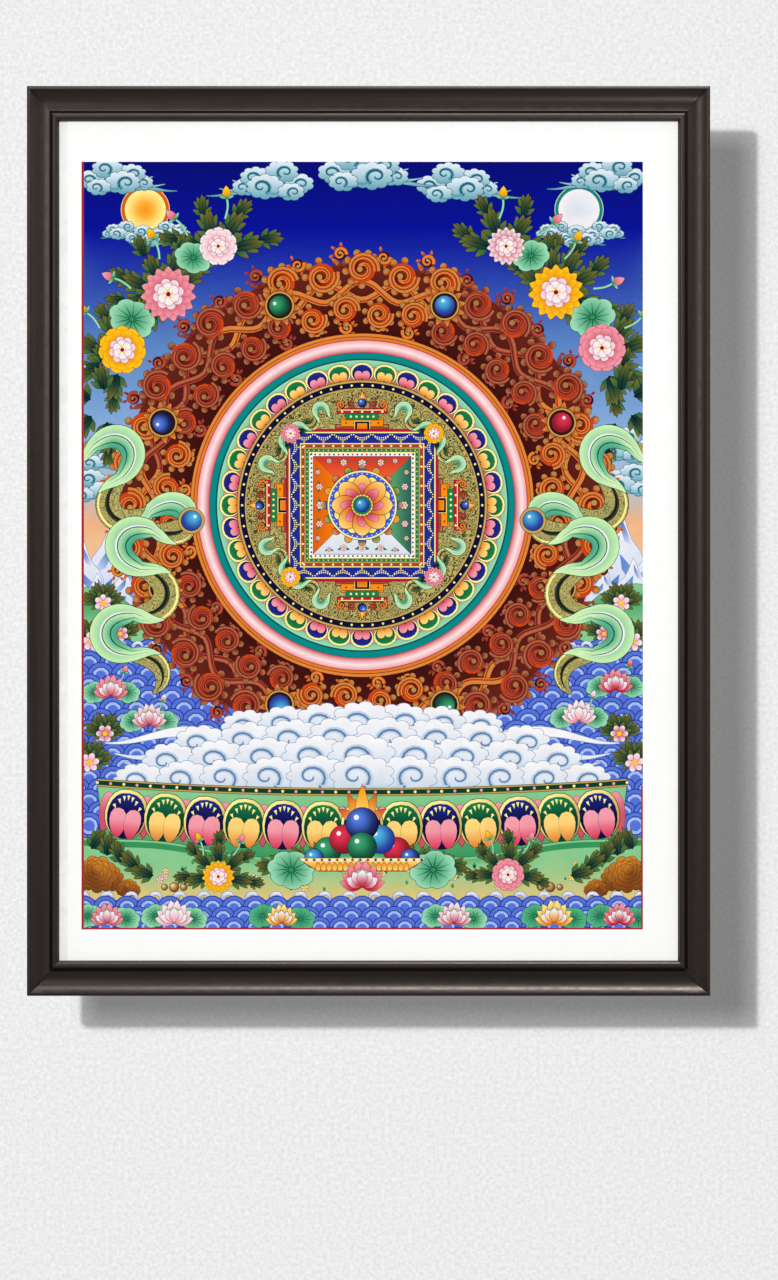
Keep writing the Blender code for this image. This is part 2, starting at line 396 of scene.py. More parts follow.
def around(turn, radius, own_turn=0.0, size=1.0):
    """A place on a circle round the wheel's middle, with its own up pointing outwards."""
    return WHEEL @ at(turn=turn) @ at(0.0, radius, own_turn, size)


def placed(points, place):
    """Points carried by a place."""
    return np.atleast_2d(points) @ place[:2, :2].T + place[:2, 2]


def area(outline):
    """Half the sum of x * next y - y * next x."""
    x, y = outline.T
    return 0.5 * np.sum(x * np.roll(y, -1) - y * np.roll(x, -1))


def up(start, end):
    """A straight blend along a motif's own up, from one height to another."""
    return (0, start), (0, end)


def widened(outline, by):
    """Each point moves outwards along the middle of its two edges' normals."""
    edge = np.roll(outline, -1, axis=0) - outline
    normal = pairs(edge[:, 1], -edge[:, 0]) / np.maximum(np.hypot(*edge.T), 1e-6)[:, None]
    both = normal + np.roll(normal, 1, axis=0)
    return outline + 2.0 * by * both / np.maximum(np.sum(both**2, axis=1), 0.7)[:, None]


def paint(
    outline, colour, to=None, along=None, out=None, place=None, line=None, thick=LINE, rings=(), mask=0.0
):
    """One shape; along = (start, end) of a straight blend, out = (middle, from, to) of a round one.
    rings are shares of the outline at which a round blend gets more points, line and thick are the
    colour and the millimetres of its edge, and mask is 1 where gold curls go over the colour."""
    place = at() if place is None else place
    outline = placed(outline, place)
    if area(outline) < 0:
        outline = outline[::-1]
    if line is not None:
        brushwork.append((widened(outline, thick), line, line, EVEN, None, 0.0))
    field, extra = EVEN, None
    if along is not None:
        field = (LINEAR, *placed(along, place).ravel())
    if out is not None:
        size = math.sqrt(abs(np.linalg.det(place[:2, :2])))
        middle = placed(out[0], place)
        field = (ROUND, *middle[0], out[1] * size, out[2] * size)
        extra = np.concatenate([middle] + [(outline - middle) * share + middle for share in rings])
    brushwork.append((outline, colour, colour if to is None else to, field, extra, mask))


print("a place is a matrix of", at().shape)

# %% Outlines that every motif is made of


def disc(radius, points=14, squash=1.0):
    """radius * (cos t, squash * sin t)."""
    turn = np.linspace(0.0, 2.0 * np.pi, points, endpoint=False)
    return radius * pairs(np.cos(turn), squash * np.sin(turn))


def box(left, bottom, right, top):
    """A rectangle from its sides."""
    return np.array([[left, bottom], [right, bottom], [right, top], [left, top]], float)


def blade(length, width, fullest=0.45, bend=0.0, tip=1.0, steps=7):
    """A petal or leaf from (0, 0) up: half width = (u / f)^p * ((1 - u) / (1 - f))^tip, where u is the
    share of the length, f where it is widest, and p makes that its widest place."""
    u = 0.5 - 0.5 * np.cos(np.pi * np.linspace(0.0, 1.0, steps + 1))
    power = tip * fullest / (1.0 - fullest)
    half = 0.5 * width * (u / fullest) ** power * ((1.0 - u) / (1.0 - fullest)) ** tip
    sides = bend * u**2 + half * np.array([[1.0], [-1.0]])
    right, left = (pairs(x, u * length) for x in sides)
    return np.concatenate([right, left[-2:0:-1]])


def ribbon(path, widths):
    """Both sides of a path, half a width away along its normal."""
    x_step, y_step = np.gradient(path, axis=0).T
    length = np.maximum(np.hypot(x_step, y_step), 1e-9)
    normal = pairs(y_step, -x_step) / length[:, None]
    half = 0.5 * np.broadcast_to(widths, len(path))[:, None] * normal
    return np.concatenate([path + half, (path - half)[::-1]])


def curl(radius, turns, start, hand, end, points):
    """A spiral round (0, 0): the radius shrinks evenly to a share of itself while the angle turns."""
    t = np.linspace(0.0, 1.0, points)
    turn = math.radians(start) + hand * 2.0 * np.pi * turns * t
    return (radius * (1.0 - (1.0 - end) * t))[:, None] * pairs(np.cos(turn), np.sin(turn))


def scallops(lobes, depth=0.16, squash=1.0):
    """A ring of bumps of five points each: radius = 1 - depth * (1 - |sin(lobes * angle / 2)| ^ 0.7)."""
    turn = np.linspace(0.0, 2.0 * np.pi, 5 * lobes, endpoint=False)
    radius = 1.0 - depth * (1.0 - np.abs(np.sin(0.5 * lobes * turn)) ** 0.7)
    return radius[:, None] * pairs(np.cos(turn), squash * np.sin(turn))


def stroke(path, width, colour, place, taper=0.9, **more):
    """A ribbon that narrows evenly along its path."""
    paint(ribbon(path, width * np.linspace(1.0, 1.0 - taper, len(path))), colour, place=place, **more)


print("a blade has", len(blade(1.0, 0.3)), "points")

# %% [markdown]
# ## Leaves and flowers
#
# The painter builds a flower from the back: leaves, then an outer ring of petals, then inner rings,
# each petal pale at its lip and deep at its foot, with a thin dark outline.  The functions below
# paint in that order, at unit size.

# %% Leaves, buds and round flowers


def leaf(place):
    """Seven pointed lobes on a midrib, green at the foot and olive at the tips."""
    for start, spread, length in ((0.1, 62, 0.55), (0.34, 44, 0.58), (0.56, 32, 0.44)):
        for hand in (-1, 1):
            side = place @ at(0.0, start, -hand * spread)
            lobe = blade(length, 0.26, 0.42, bend=-0.06 * hand, steps=4)
            paint(lobe, LEAF, OLIVE_TIP, along=up(0.15 * length, length), place=side, line=INK, thick=0.45)
    middle = blade(1.08, 0.36, 0.36, bend=0.08, steps=5)
    paint(middle, LEAF_DARK, OLIVE_TIP, along=up(0.25, 1.05), place=place, line=INK, thick=0.45)
    u = np.linspace(0.0, 0.85, 5)
    stroke(pairs(0.07 * u**2, u), 0.05, INK, place)


def bud(place, colour, deep):
    """A closed flower between two sepals, on a bent stem."""
    u = np.linspace(0.0, 1.0, 8)
    stem = pairs(0.25 * np.sin(2.2 * u), 1.5 * u - 1.5)
    stroke(stem, 0.12, MINT, place, taper=0.0, line=MINT_DEEP, thick=0.35)
    top = place @ at(0.2, -0.05)
    paint(blade(1.0, 0.62, 0.4), deep, colour, along=up(0, 0.8), place=top, line=INK, thick=0.4)
    for hand in (-1, 1):
        sepal = blade(0.55, 0.26, 0.5, bend=0.2 * hand, steps=5)
        side = top @ at(turn=-48 * hand)
        paint(sepal, MINT_DEEP, MINT, along=up(0, 0.5), place=side, line=LEAF_DARK, thick=0.35)


def petal_ring(place, count, length, width, fullest, tip, deep, lip, line, shift=0.0, feet=0.45):
    """Equal petals round a middle, deep at the foot and pale at the lip."""
    shape = blade(length, width, fullest, tip=tip, steps=6)
    for number in range(count):
        turn = 360.0 * (number + shift) / count
        blend = up(feet * length, 0.98 * length)
        paint(shape, deep, lip, along=blend, place=place @ at(turn=turn), line=line, thick=0.38)


def peony(place, outer, outer_deep, pointed):
    """Two outer rings of petals and a closed white heart of two more."""
    count, width, fullest, tip = (15, 0.42, 0.62, 0.9) if pointed else (11, 0.58, 0.74, 0.42)
    petal_ring(place, count, 1.0, width, fullest, tip, outer_deep, outer, WINE)
    petal_ring(place, count, 0.84, 0.9 * width, fullest, tip, outer_deep, outer, outer_deep, 0.5)
    paint(disc(0.5), MAROON, place=place)
    petal_ring(place, 8, 0.56, 0.36, 0.66, 0.5, ROSE, WHITE, ROSE, 0.3, 0.1)
    petal_ring(place, 6, 0.4, 0.34, 0.66, 0.5, BLUSH, WHITE, ROSE, 0.1, 0.1)
    for turn in range(0, 360, 72):
        paint(disc(0.045, 6), YELLOW, place=place @ at(turn=turn) @ at(0.0, 0.14))
    paint(disc(0.09, 7), WINE, place=place)


def small_flower(place, lip=WHITE, foot=PINK, petals=6):
    """One ring of petals and a yellow eye."""
    petal_ring(place, petals, 1.0, 0.66, 0.6, 0.5, foot, lip, WINE, feet=0.15)
    paint(disc(0.28, 7), YELLOW, place=place)


print("a petal has", len(blade(1.0, 0.66, 0.6, steps=6)), "points")

# %% Water lilies and their leaves


def lotus(place, tip, deep):
    """A lily seen from the side: petals open like a fan, the middle ones in front."""
    for turn in (-84, 84, -62, 62, -38, 38, -14, 14):
        shape = blade(1.06 - 0.0022 * abs(turn), 0.44, 0.5, bend=-0.1 * math.copysign(1.0, turn))
        paint(shape, deep, tip, along=up(0.3, 0.9), place=place @ at(turn=-turn), line=WINE, thick=0.4)
    paint(disc(0.27, 12, 0.6), MINT, place=place @ at(0, 0.5), line=GOLD_DARK, thick=0.4)
    for turn in (-60, 60, -31, 31, 0):
        shape = blade(0.68, 0.42, 0.52, steps=6)
        paint(shape, deep, WHITE, along=up(0.05, 0.55), place=place @ at(turn=-turn), line=WINE, thick=0.4)


def lotus_leaf(place, tint=MINT):
    """A wavy round leaf seen at a slant, with ribs from its middle."""
    rim, blend = scallops(7, 0.12, 0.8), ((0, 0), 0.1, 0.85)
    paint(rim, MINT_DEEP, tint, out=blend, place=place, rings=(0.35, 0.7), line=FOREST)
    u = np.linspace(0.1, 0.84, 5)
    rib = pairs(u, 0.12 * u**2)
    for turn in range(8, 368, 30):
        stroke(rib, 0.055, FOREST, place @ np.diag([1.0, 0.8, 1.0]) @ at(turn=turn))


print("a round leaf has", len(scallops(7)), "points")

# %% [markdown]
# ## Clouds, peaks, rocks and water
#
# These follow old drawing rules.  A cloud is a heap of scalloped heads, each with a hooked curl, on
# streaming tails.  A snow range is a row of hollow-sided spires with blue shadows.  Rocks are stacked
# tongues, and water is overlapping scales under a row of curling crests.

# %% Clouds
PUFF_SQUASH = 0.66


def puff(place, hues, lobes, hand):
    """A wide scalloped head, pale above and shaded below, with a hooked curl towards one side."""
    light, shade, line = hues
    head, blend = scallops(lobes, 0.15, PUFF_SQUASH), up(0.75 * PUFF_SQUASH, -1.05 * PUFF_SQUASH)
    paint(head, light, shade, along=blend, place=place, line=line, thick=0.5)
    hook = place @ at(0.22 * hand, -0.02, 0, 1.0, hand)
    spiral = curl(0.52, 1.15, 238, -1.0, 0.14, 17) * (1.0, 0.8)
    stroke(spiral, 0.24, shade, hook, taper=0.75)
    stroke(0.98 * spiral, 0.085, line, hook, taper=0.5)
    sag = -0.34 * PUFF_SQUASH - 0.16 * np.sin(np.linspace(0.2, 2.9, 8))
    under = pairs(np.linspace(-0.85, -0.05, 8), sag)
    paint(ribbon(under, 0.13 * np.sin(np.linspace(0.1, 3.0, 8))), shade, place=place @ at(mirror=hand))


def cloud(place, tail=1.0):
    """Tails to one side, then the back heads and the front heads."""
    hues = CLOUD, CLOUD_SHADE, CLOUD_LINE
    u = np.linspace(0.0, 1.0, 16)
    for number in range(3):
        run = -0.3 + tail * (2.9 - 0.5 * number) * u
        path = pairs(run, 0.2 * number - 0.46 + 0.12 * np.sin(5.0 * u + number))
        stroke(path, 0.34, CLOUD, place, taper=0.95, to=CLOUD_SHADE, along=up(0.1, -0.7), line=CLOUD_LINE)
    heap = (
        (1.12, -0.24, 0.5), (-0.95, -0.1, 0.6), (0.7, 0.14, 0.62), (-0.3, 0.36, 0.66),
        (0.34, -0.22, 0.74), (-0.66, -0.42, 0.52),
    )
    for x, y, radius in heap:
        puff(place @ at(x, y, 0, radius), hues, 10 if radius > 0.6 else 8, math.copysign(1.0, x))


print("a cloud's head has", len(scallops(10)), "points")

# %% Snow peaks, rocks and tufts
SNOW_BLUE, SNOW_LINE, SNOW_SHADE = shades((92, 132, 204), (70, 104, 170), (196, 212, 240))
ROCK_LINE = rgb(96, 44, 16)


def peak(place, wide, high):
    """Spires with hollow sides, half width = (1 - height)^1.2 with small shoulders, the tallest at the
    back; blue hollows open on both sides of each ridge and fade outwards."""
    v = np.linspace(0.0, 1.0, 10)
    for spot, share in ((0.02, 1.0), (-0.26, 0.76), (0.3, 0.7), (-0.44, 0.48), (0.14, 0.5), (-0.12, 0.4)):
        tall, half = share * high, wide * (0.2 + 0.22 * share)
        here = place @ at(spot * wide)
        side = pairs(half * (1.0 - v) ** 1.2 * (1.0 + 0.16 * np.sin(15.0 * v)), tall * v)
        outline = np.concatenate([side, (side * (-1.0, 1.0))[-2::-1]])
        paint(outline, WHITE, SNOW_SHADE, along=up(0.9 * tall, 0), place=here, line=SNOW_LINE, thick=0.4)
        for top, hand in ((0.9, 1), (0.7, -1), (0.54, 1), (0.36, -1), (0.22, 1)):
            foot = max(top - 0.3, 0.0)
            far = hand * half * (1.0 - foot) ** 1.2
            hollow = [
                (0, top), (0.45 * far, top - 0.16), (0.82 * far, foot), (0.3 * far, foot + 0.05),
                (0.06 * far, top - 0.14),
            ]
            hollow = np.array(hollow) * (1.0, tall)
            paint(hollow, SNOW_BLUE, WHITE, along=(hollow[4], hollow[2]), place=here)


def rock(place, seed=0):
    """Worn layers, each a smaller wavy outline inside the last, amber above and brown below."""
    chance = np.random.default_rng(seed)
    for x, y, size in ((0.62, -0.14, 0.62), (-0.6, -0.1, 0.7), (0.0, 0.12, 1.0)):
        here = place @ at(x, y, chance.uniform(-20, 20), size)
        for number, share in enumerate((1.0, 0.8, 0.62, 0.45, 0.28)):
            layer = share * scallops(9 - number, 0.16, 0.92)
            shift = here @ at(0.1 * number * share, 0.05 * number, 14 * number)
            blend = ((0.2, share), (-0.1, -share))
            paint(layer, ROCK, ROCK_DARK, along=blend, place=shift, line=ROCK_LINE, thick=0.5)


def tuft(place, colour=FOREST):
    """Three blades of grass."""
    for turn, length in ((-34, 0.8), (0, 1.0), (34, 0.8)):
        paint(blade(length, 0.24, 0.35, bend=-0.006 * turn, steps=4), colour, place=place @ at(turn=-turn))


def hill(place, wide, high, seed):
    """A green mound with a darker scalloped foot and tufts on it."""
    turn = np.linspace(0.0, np.pi, 15)
    mound = pairs(0.5 * wide * np.cos(turn), high * np.sin(turn) ** 0.8)
    paint(mound, MEADOW, LEAF, along=up(high, 0.05 * high), place=place, line=FOREST)
    paint(mound * (0.84, 0.84), MEADOW_DEEP, MEADOW, along=up(0.84 * high, 0.35 * high), place=place)
    chance = np.random.default_rng(seed)
    for _ in range(5):
        spot = chance.uniform(-0.34, 0.34)
        tuft(place @ at(spot * wide, chance.uniform(0.15, 0.5) * high, 0, chance.uniform(4.0, 6.5)))


print("a blade of grass has", len(blade(1.0, 0.24, steps=4)), "points")

# %% Water


def wave_scale(place):
    """One scale of water: rings of pale and deep blue."""
    rings = ((1.0, WATER_DARK), (0.92, WATER), (0.68, WATER_DARK), (0.6, WATER_PALE), (0.4, WATER))
    for share, colour in rings:
        paint(disc(share, 14 if share > 0.9 else 10), colour, place=place)


def water(top, rows, across, size, gap=0.0):
    """Rows of scales, each row half a scale along; a gap in the middle stays empty."""
    for row in range(rows):
        for spot in np.arange(-across, across + 1) + 0.5 * (row % 2):
            if abs(spot) * size * 1.65 >= gap:
                wave_scale(at(1.65 * size * spot, top - 0.8 * size * row, 0, size))


def crest(place, hand):
    """The curling top of a wave, with a drop of foam."""
    spiral = ribbon(curl(1.0, 1.2, 190, -1, 0.2, 16), np.linspace(0.62, 0.14, 16))
    paint(spiral, WHITE, WATER, along=up(1, -1), place=place @ at(mirror=hand), line=WATER_DARK, thick=0.4)


print("motifs of land and water ready")

# %% [markdown]
# ## Scrollwork, jewels and silk
#
# The wheel's rim is carved scrollwork: spirals of acanthus with beads along their backs, in panels
# of brick and orange, set with jewels.  Silk ribbons swing from side to side as they flow, and show
# their mint face at one bend and their olive back at the next.

# %% Scrolls
RIM_HUES = (
    shades((232, 124, 46), (160, 60, 26), (186, 140, 74)),
    shades((176, 68, 50), (112, 34, 28), (166, 116, 68)),
)
SCROLL_BEADS, SCROLL_POINTS = 7, 24


def scroll(place, hues, hand):
    """A tapering spiral over a glowing hollow, with beads and small tips along its back."""
    body, deep, tip = hues
    mirrored = place @ at(mirror=hand)
    for number in range(SCROLL_BEADS):
        turn = -62.0 + 280.0 * number / SCROLL_BEADS
        bead = mirrored @ at(turn=turn) @ at(1.1, 0.0)
        paint(disc(0.25, 8), tip, deep, along=((0.1, 0.1), (-0.2, -0.1)), place=bead, line=MAROON, thick=0.45)
        paint([(-0.1, -0.05), (0.1, -0.1), (0.05, 0.1)], body, place=bead)
    paint(disc(0.92, 14), MAROON, EMBER, out=((0.1, 0.15), 0.15, 0.75), place=mirrored, rings=(0.55,))
    spiral = curl(1.0, 1.55, -100, 1.0, 0.16, SCROLL_POINTS)
    widths = 0.46 * np.linspace(1.0, 0.38, SCROLL_POINTS)
    half = SCROLL_POINTS // 2
    paint(ribbon(spiral, widths), body, place=mirrored, line=MAROON, thick=0.5)
    paint(ribbon(0.99 * spiral[:-5], 0.34 * widths[:-5]), deep, place=mirrored)
    paint(ribbon(1.09 * spiral[:half], 0.16 * widths[:half]), tip, place=mirrored)
    paint(disc(0.2, 8), tip, place=mirrored @ at(*spiral[-1]), line=MAROON, thick=0.35)


def small_scroll(place, hues, hand):
    """A spiral with four leaves at its back, for the gaps."""
    body, deep, tip = hues
    mirrored = place @ at(mirror=hand)
    for turn in (-20, 35, 90, 145):
        foot = mirrored @ at(turn=turn) @ at(0.9, 0, -52)
        paint(blade(0.72, 0.44, 0.5, bend=0.1, steps=4), deep, body, along=up(0, 0.7), place=foot)
    paint(disc(0.85, 11), MAROON, place=mirrored)
    spiral = curl(0.88, 1.3, -100, 1.0, 0.2, 16)
    paint(ribbon(spiral, 0.44 * np.linspace(1.0, 0.4, 16)), body, place=mirrored, line=MAROON, thick=0.4)
    paint(disc(0.24, 7), tip, place=mirrored @ at(*spiral[-1]))


print("a scroll's band has", 2 * SCROLL_POINTS, "points and", SCROLL_BEADS, "beads")

# %% Jewels, flames, beads and lotus petals


def jewel(place, hues, points):
    """A ball shaded from a lit spot, with a white glint."""
    light, deep = hues
    ball, blend = disc(1.0, points), ((-0.25, 0.3), 0.2, 1.25)
    paint(ball, light, deep, out=blend, place=place, rings=(0.35, 0.7), line=INK, thick=0.45)
    paint(disc(0.17, 7), WHITE, place=place @ at(-0.36, 0.4))


def flame(place):
    """Five tongues, the tallest in the middle and in front."""
    tongues = (
        (-36, 1.0, EMBER), (36, 1.0, EMBER), (-17, 1.25, SAFFRON_DEEP), (17, 1.25, SAFFRON_DEEP),
        (0, 1.5, SAFFRON),
    )
    for turn, length, colour in tongues:
        tongue, here = blade(length, 0.5, 0.35, bend=0.008 * turn), place @ at(turn=-turn)
        paint(tongue, colour, GOLD_PALE, along=up(length, 0.1), place=here, line=MAROON, thick=0.4)


def beads(points, radius, colours, place):
    """Small discs, one at each point, whose colours take turns."""
    for number, (x, y) in enumerate(points):
        paint(disc(radius, 7), colours[number % len(colours)], place=place @ at(x, y))


def garland(place, wide, drop):
    """Two swags of beads between hooks, and a tassel under the lower one."""
    for share in (1.0, 0.6):
        u = np.linspace(-1.0, 1.0, 9)
        beads(pairs(0.5 * wide * u, -share * drop * (1.0 - u**2)), 0.042 * wide, (GOLD_PALE,), place)
    stroke(np.array([[0, -drop], [0, -1.3 * drop], [0, -1.6 * drop]]), 0.08 * wide, GOLD, place, taper=-0.6)


def lotus_petals(count, radius, depth, ring):
    """Broad petals that point outwards, navy and green by turns, each with a soft double heart."""
    width = 2.0 * np.pi * (radius + 0.45 * depth) / count
    skins, hearts = ((NAVY_DARK, NAVY), (GREEN_DARK, GREEN)), ((CRIMSON, PINK), (SAFFRON_DEEP, CREAM))
    for number in range(count):
        back = blade(0.82 * depth, 0.42 * width, 0.55, tip=0.5, steps=5)
        place = ring @ at(turn=360.0 * (number + 0.5) / count) @ at(0.0, radius)
        paint(back, ROSE, PINK, along=up(0, depth), place=place, line=WINE, thick=0.4)
    for number in range(count):
        place = ring @ at(turn=360.0 * number / count) @ at(0.0, radius)
        (dark, skin), (deep, heart) = skins[number % 2], hearts[number % 2]
        outer = blade(depth, 1.02 * width, 0.52, tip=0.46, steps=8)
        paint(outer, GOLD_PALE, place=place, line=INK, thick=0.5)
        inner = blade(0.9 * depth, 0.88 * width, 0.52, tip=0.46)
        paint(inner, dark, skin, along=up(0.1 * depth, 0.8 * depth), place=place)
        for hand in (-1, 1):
            half = place @ at(0.13 * hand * width, 0, -6 * hand)
            shape = blade(0.6 * depth, 0.36 * width, 0.62, tip=0.45, steps=5)
            paint(shape, deep, heart, along=up(0, 0.45 * depth), place=half)


print("a bead has", len(disc(1.0, 7)), "points")

# %% Silk ribbons


def wander(length, heading, bend, swing, waves, late, steps=56):
    """A path that swings like a river: its direction is heading + bend * s + swing * sin(2 pi (waves * s
    + late)), with s from 0 to 1, and equal steps that way are added up."""
    s = np.linspace(0.0, 1.0, steps)
    turn = np.radians(heading + bend * s + swing * np.sin(2.0 * np.pi * (waves * s + late)))
    return np.cumsum(pairs(np.cos(turn), np.sin(turn)), axis=0) * length / steps


def silk(place, path, wide):
    """A band that is widest where its path bends, and 0.45 as wide where one bend turns into the next.
    Each bend shows one side, mint or the olive back with its gold curls, and the mint laps over the
    olive in a tongue that narrows to nothing along its own inner edge."""
    u = np.linspace(0.0, 1.0, len(path))
    tangent = np.gradient(path, axis=0)
    normal = pairs(tangent[:, 1], -tangent[:, 0]) / np.hypot(*tangent.T)[:, None]
    bending = np.gradient(np.unwrap(np.arctan2(tangent[:, 1], tangent[:, 0])))
    widths = wide * (0.45 + 0.55 * (np.abs(bending) / np.abs(bending).max()) ** 0.6) * (1.0 - 0.9 * u**12)
    parts = np.split(np.arange(len(path)), np.flatnonzero(np.diff(bending > 0)) + 1)
    for part in sorted(parts, key=lambda part: bending[part].mean() < 0):
        mint = bending[part].mean() < 0
        first, last, lap = part[0], part[-1], 5 if mint else 2
        knee = part[len(part) // 2]
        part = np.arange(max(first - lap, 0), min(last + lap + 1, len(path)))
        past = np.maximum(first - part, part - last).clip(0) / (lap + 0.3) * mint
        outward = normal[part] * np.sign(bending[knee])
        width = widths[part] * (1.0 - past)
        here = path[part] - (0.5 * widths[part] * past)[:, None] * outward
        swell = np.sin(np.pi * np.linspace(0.04, 0.96, len(part)))

        def fold(shift, share, colour, **more):
            """A line along the silk, thick in its middle, some way towards one edge."""
            middle_line = here + shift * width[:, None] * outward
            paint(ribbon(middle_line, share * swell * width), colour, place=place, **more)

        if not mint:
            paint(ribbon(here, width), OLIVE, place=place, line=INK, thick=0.6, mask=1.0)
            fold(0.4, 0.09, GOLD_PALE)
            fold(0.02, 0.2, OLIVE_DARK)
            fold(0.0, 0.07, INK)
            continue
        reach = min(math.hypot(*tangent[knee]) / abs(bending[knee]), 50.0)
        middle = path[knee] + reach * normal[knee] * -np.sign(bending[knee])
        blend = (middle, reach - 0.42 * wide, reach + 0.44 * wide)
        paint(ribbon(here, width), SILK_DEEP, SILK_PALE, out=blend, place=place, line=FOREST, thick=0.6)
        fold(-0.1, 0.3, SILK_DEEP, to=SILK_PALE, out=(middle, reach - 0.3 * wide, reach + 0.1 * wide))
        fold(0.05, 0.05, FOREST)
        fold(0.1, 0.07, WHITE)
        fold(-0.27, 0.05, FOREST)


print("scrolls, jewels and silk ready;", len(brushwork), "shapes so far")

# %% [markdown]
# ## Sky, mountains and water
#
# Mineral blue is laid first, dark at the top and thinned with white towards the horizon, where it
# turns to peach.  Everything nearer is painted over it: snow peaks, green hills, then the lake.

# %% The ground of the picture
TOP, LEFT = 0.5 * TALL + 5.0, -0.5 * WIDE - 5.0


def sky():
    """Bands of blue, each blended into the next, down to peach at the horizon."""
    stops = (
        (TOP, NIGHT), (330, DEEP_BLUE), (215, SKY), (120, PALE_SKY), (60, rgb(176, 192, 206)), (24, PEACH),
        (-60, SAND),
    )
    for (high, above), (low, below) in zip(stops, stops[1:]):
        paint(box(LEFT, low, -LEFT, high), above, below, along=up(high, low))


def far_land():
    """Peaks behind hills behind the lake; the middle of each is hidden by the wheel."""
    for x, wide, high in ((-218, 96, 70), (222, 100, 76), (-262, 116, 108), (266, 120, 118)):
        peak(at(x, -72), wide, high)
    hills = (
        (-288, 120, 60), (-222, 110, 44), (286, 124, 64), (222, 112, 46), (-140, 120, 40), (140, 120, 40)
    )
    for number, (x, wide, high) in enumerate(hills):
        hill(at(x, -104), wide, high, number)
    paint(box(LEFT, -TOP, -LEFT, -104), WATER, WATER_DARK, along=up(-104, -300))
    water(-112, 16, 12, 15.0, gap=128)
    for number in range(7):
        for hand in (-1, 1):
            crest(at(hand * (284 - 17 * number), -106, 0, 6.0), -hand)


def trees():
    """Leafy clumps with blossoms at both sides of the lake."""
    clumps = ((270, -60, 22), (252, -92, 20), (282, -100, 24), (268, -196, 22), (284, -226, 24))
    for hand in (-1, 1):
        for number, (x, y, size) in enumerate(clumps):
            for turn in (-70, -25, 25, 70):
                leaf(at(hand * x, y, turn, size))
            small_flower(at(hand * x, y, 10 * number, 0.42 * size), WHITE, (PINK, ROSE)[number % 2])


def lake_lilies():
    """Four open lotuses, each between two leaves."""
    for x, y, tip, deep in (
        (-262, -152, PINK, ROSE), (264, -146, PINK, CRIMSON), (-222, -182, WHITE, ROSE),
        (226, -178, WHITE, PINK),
    ):
        for shift, turn in ((-17, 20), (17, -15)):
            lotus_leaf(at(x + shift, y - 1, turn, 14))
        bud(at(x + 12, y + 20, -20, 9), tip, deep)
        lotus(at(x, y - 4, 0, 21), tip, deep)


sky()
far_land()
trees()
lake_lilies()
print("land and water:", len(brushwork), "shapes")

# %% Sun, moon and clouds


def sun_and_moon():
    """Two ringed discs that rest on small clouds."""
    for x, light, deep, rim in ((-226, GOLD_PALE, SAFFRON, SAFFRON_DEEP), (226, WHITE, SHELL, TEAL)):
        place = at(x, 350)
        paint(disc(25, 30), rim, place=place, line=GOLD_PALE)
        face, blend = disc(21.5, 30), ((0, 0), 2, 20)
        paint(face, deep, light, out=blend, place=place, rings=(0.4, 0.8), line=GOLD_DARK, thick=0.4)
        for shift, low, size, hand in ((-24, -22, 13, -1), (26, -22, 13, 1), (2, -28, 15, 1)):
            cloud(place @ at(shift, low, 0, size, hand), tail=0.7)


def clouds():
    """Banks along the top and level with the wheel, tails towards the middle."""
    banks = ((-258, 384, 25, 1), (258, 386, 25, -1), (-92, 380, 27, -1), (98, 378, 27, 1), (0, 392, 30, 1),
             (-266, 96, 24, 1), (268, 104, 24, -1), (-276, 62, 22, 1), (276, 68, 22, -1))
    for x, y, size, hand in banks:
        cloud(at(x, y, 0, size, hand))


sun_and_moon()
clouds()
print("with clouds:", len(brushwork), "shapes")

# %% [markdown]
# ## Flowers round the wheel
#
# Sprays of leaves and buds reach out of the upper corners, behind large open flowers.

# %% Sprays


def spray(place, leaves, buds, seed):
    """Leaves and buds that fan out from behind a flower."""
    chance = np.random.default_rng(seed)
    for number in range(leaves):
        turn = -95.0 + 190.0 * number / (leaves - 1) + chance.uniform(-6, 6)
        out = place @ at(turn=turn)
        leaf(out @ at(0.0, chance.uniform(38, 46), chance.uniform(-18, 18), chance.uniform(20, 24)))
        leaf(out @ at(0.0, chance.uniform(15, 20), chance.uniform(-14, 14), chance.uniform(26, 32)))
    for number in range(buds):
        colour, deep = ((PINK, ROSE), (YELLOW, AMBER))[(number + seed) % 2]
        turn = -60.0 + 120.0 * (number + 0.5) / buds
        bud(place @ at(turn=turn) @ at(0.0, 58.0, -0.3 * turn, 14.0), colour, deep)


def upper_flowers():
    """Four sprays, two round leaves and three open flowers on each side."""
    sprays = ((150, 304, 24, 5), (204, 262, 46, 6), (252, 196, 70, 5), (268, 146, 96, 4))
    for number, (x, y, turn, leaves) in enumerate(sprays):
        for hand in (-1, 1):
            spray(at(hand * x, y, -hand * turn), leaves, 2, 2 * number + 1 + (hand > 0))
    for x, y, size in ((-240, 236, 25), (240, 238, 25), (-176, 300, 20), (176, 302, 20)):
        lotus_leaf(at(x, y, 0.1 * x, size))
    flowers = ((-202, 262, 29, PINK, ROSE, True), (202, 264, 29, YELLOW, AMBER, True),
               (-250, 204, 25, YELLOW, AMBER, False), (250, 206, 25, PINK, ROSE, False),
               (-150, 312, 20, WHITE, PINK, False), (150, 312, 20, WHITE, ROSE, True))
    for x, y, size, colour, deep, pointed in flowers:
        peony(at(x, y, 0, size), colour, deep, pointed)


upper_flowers()
print("with flowers:", len(brushwork), "shapes")

# %% [markdown]
# ## The wheel
#
# Its rim is a crowd of carved spirals in eight panels of brick and orange.  Inside it, bands of
# rose, teal and lotus petals lead to a dark brocade court.

# %% Rim of scrollwork
INNER = WHEEL @ at(size=0.84)
VINE_RADIUS = 224.0


def within(turn, radius=0.0):
    """A place like around(), at the scale of what the rim encloses."""
    return INNER @ at(turn=turn) @ at(0.0, radius)


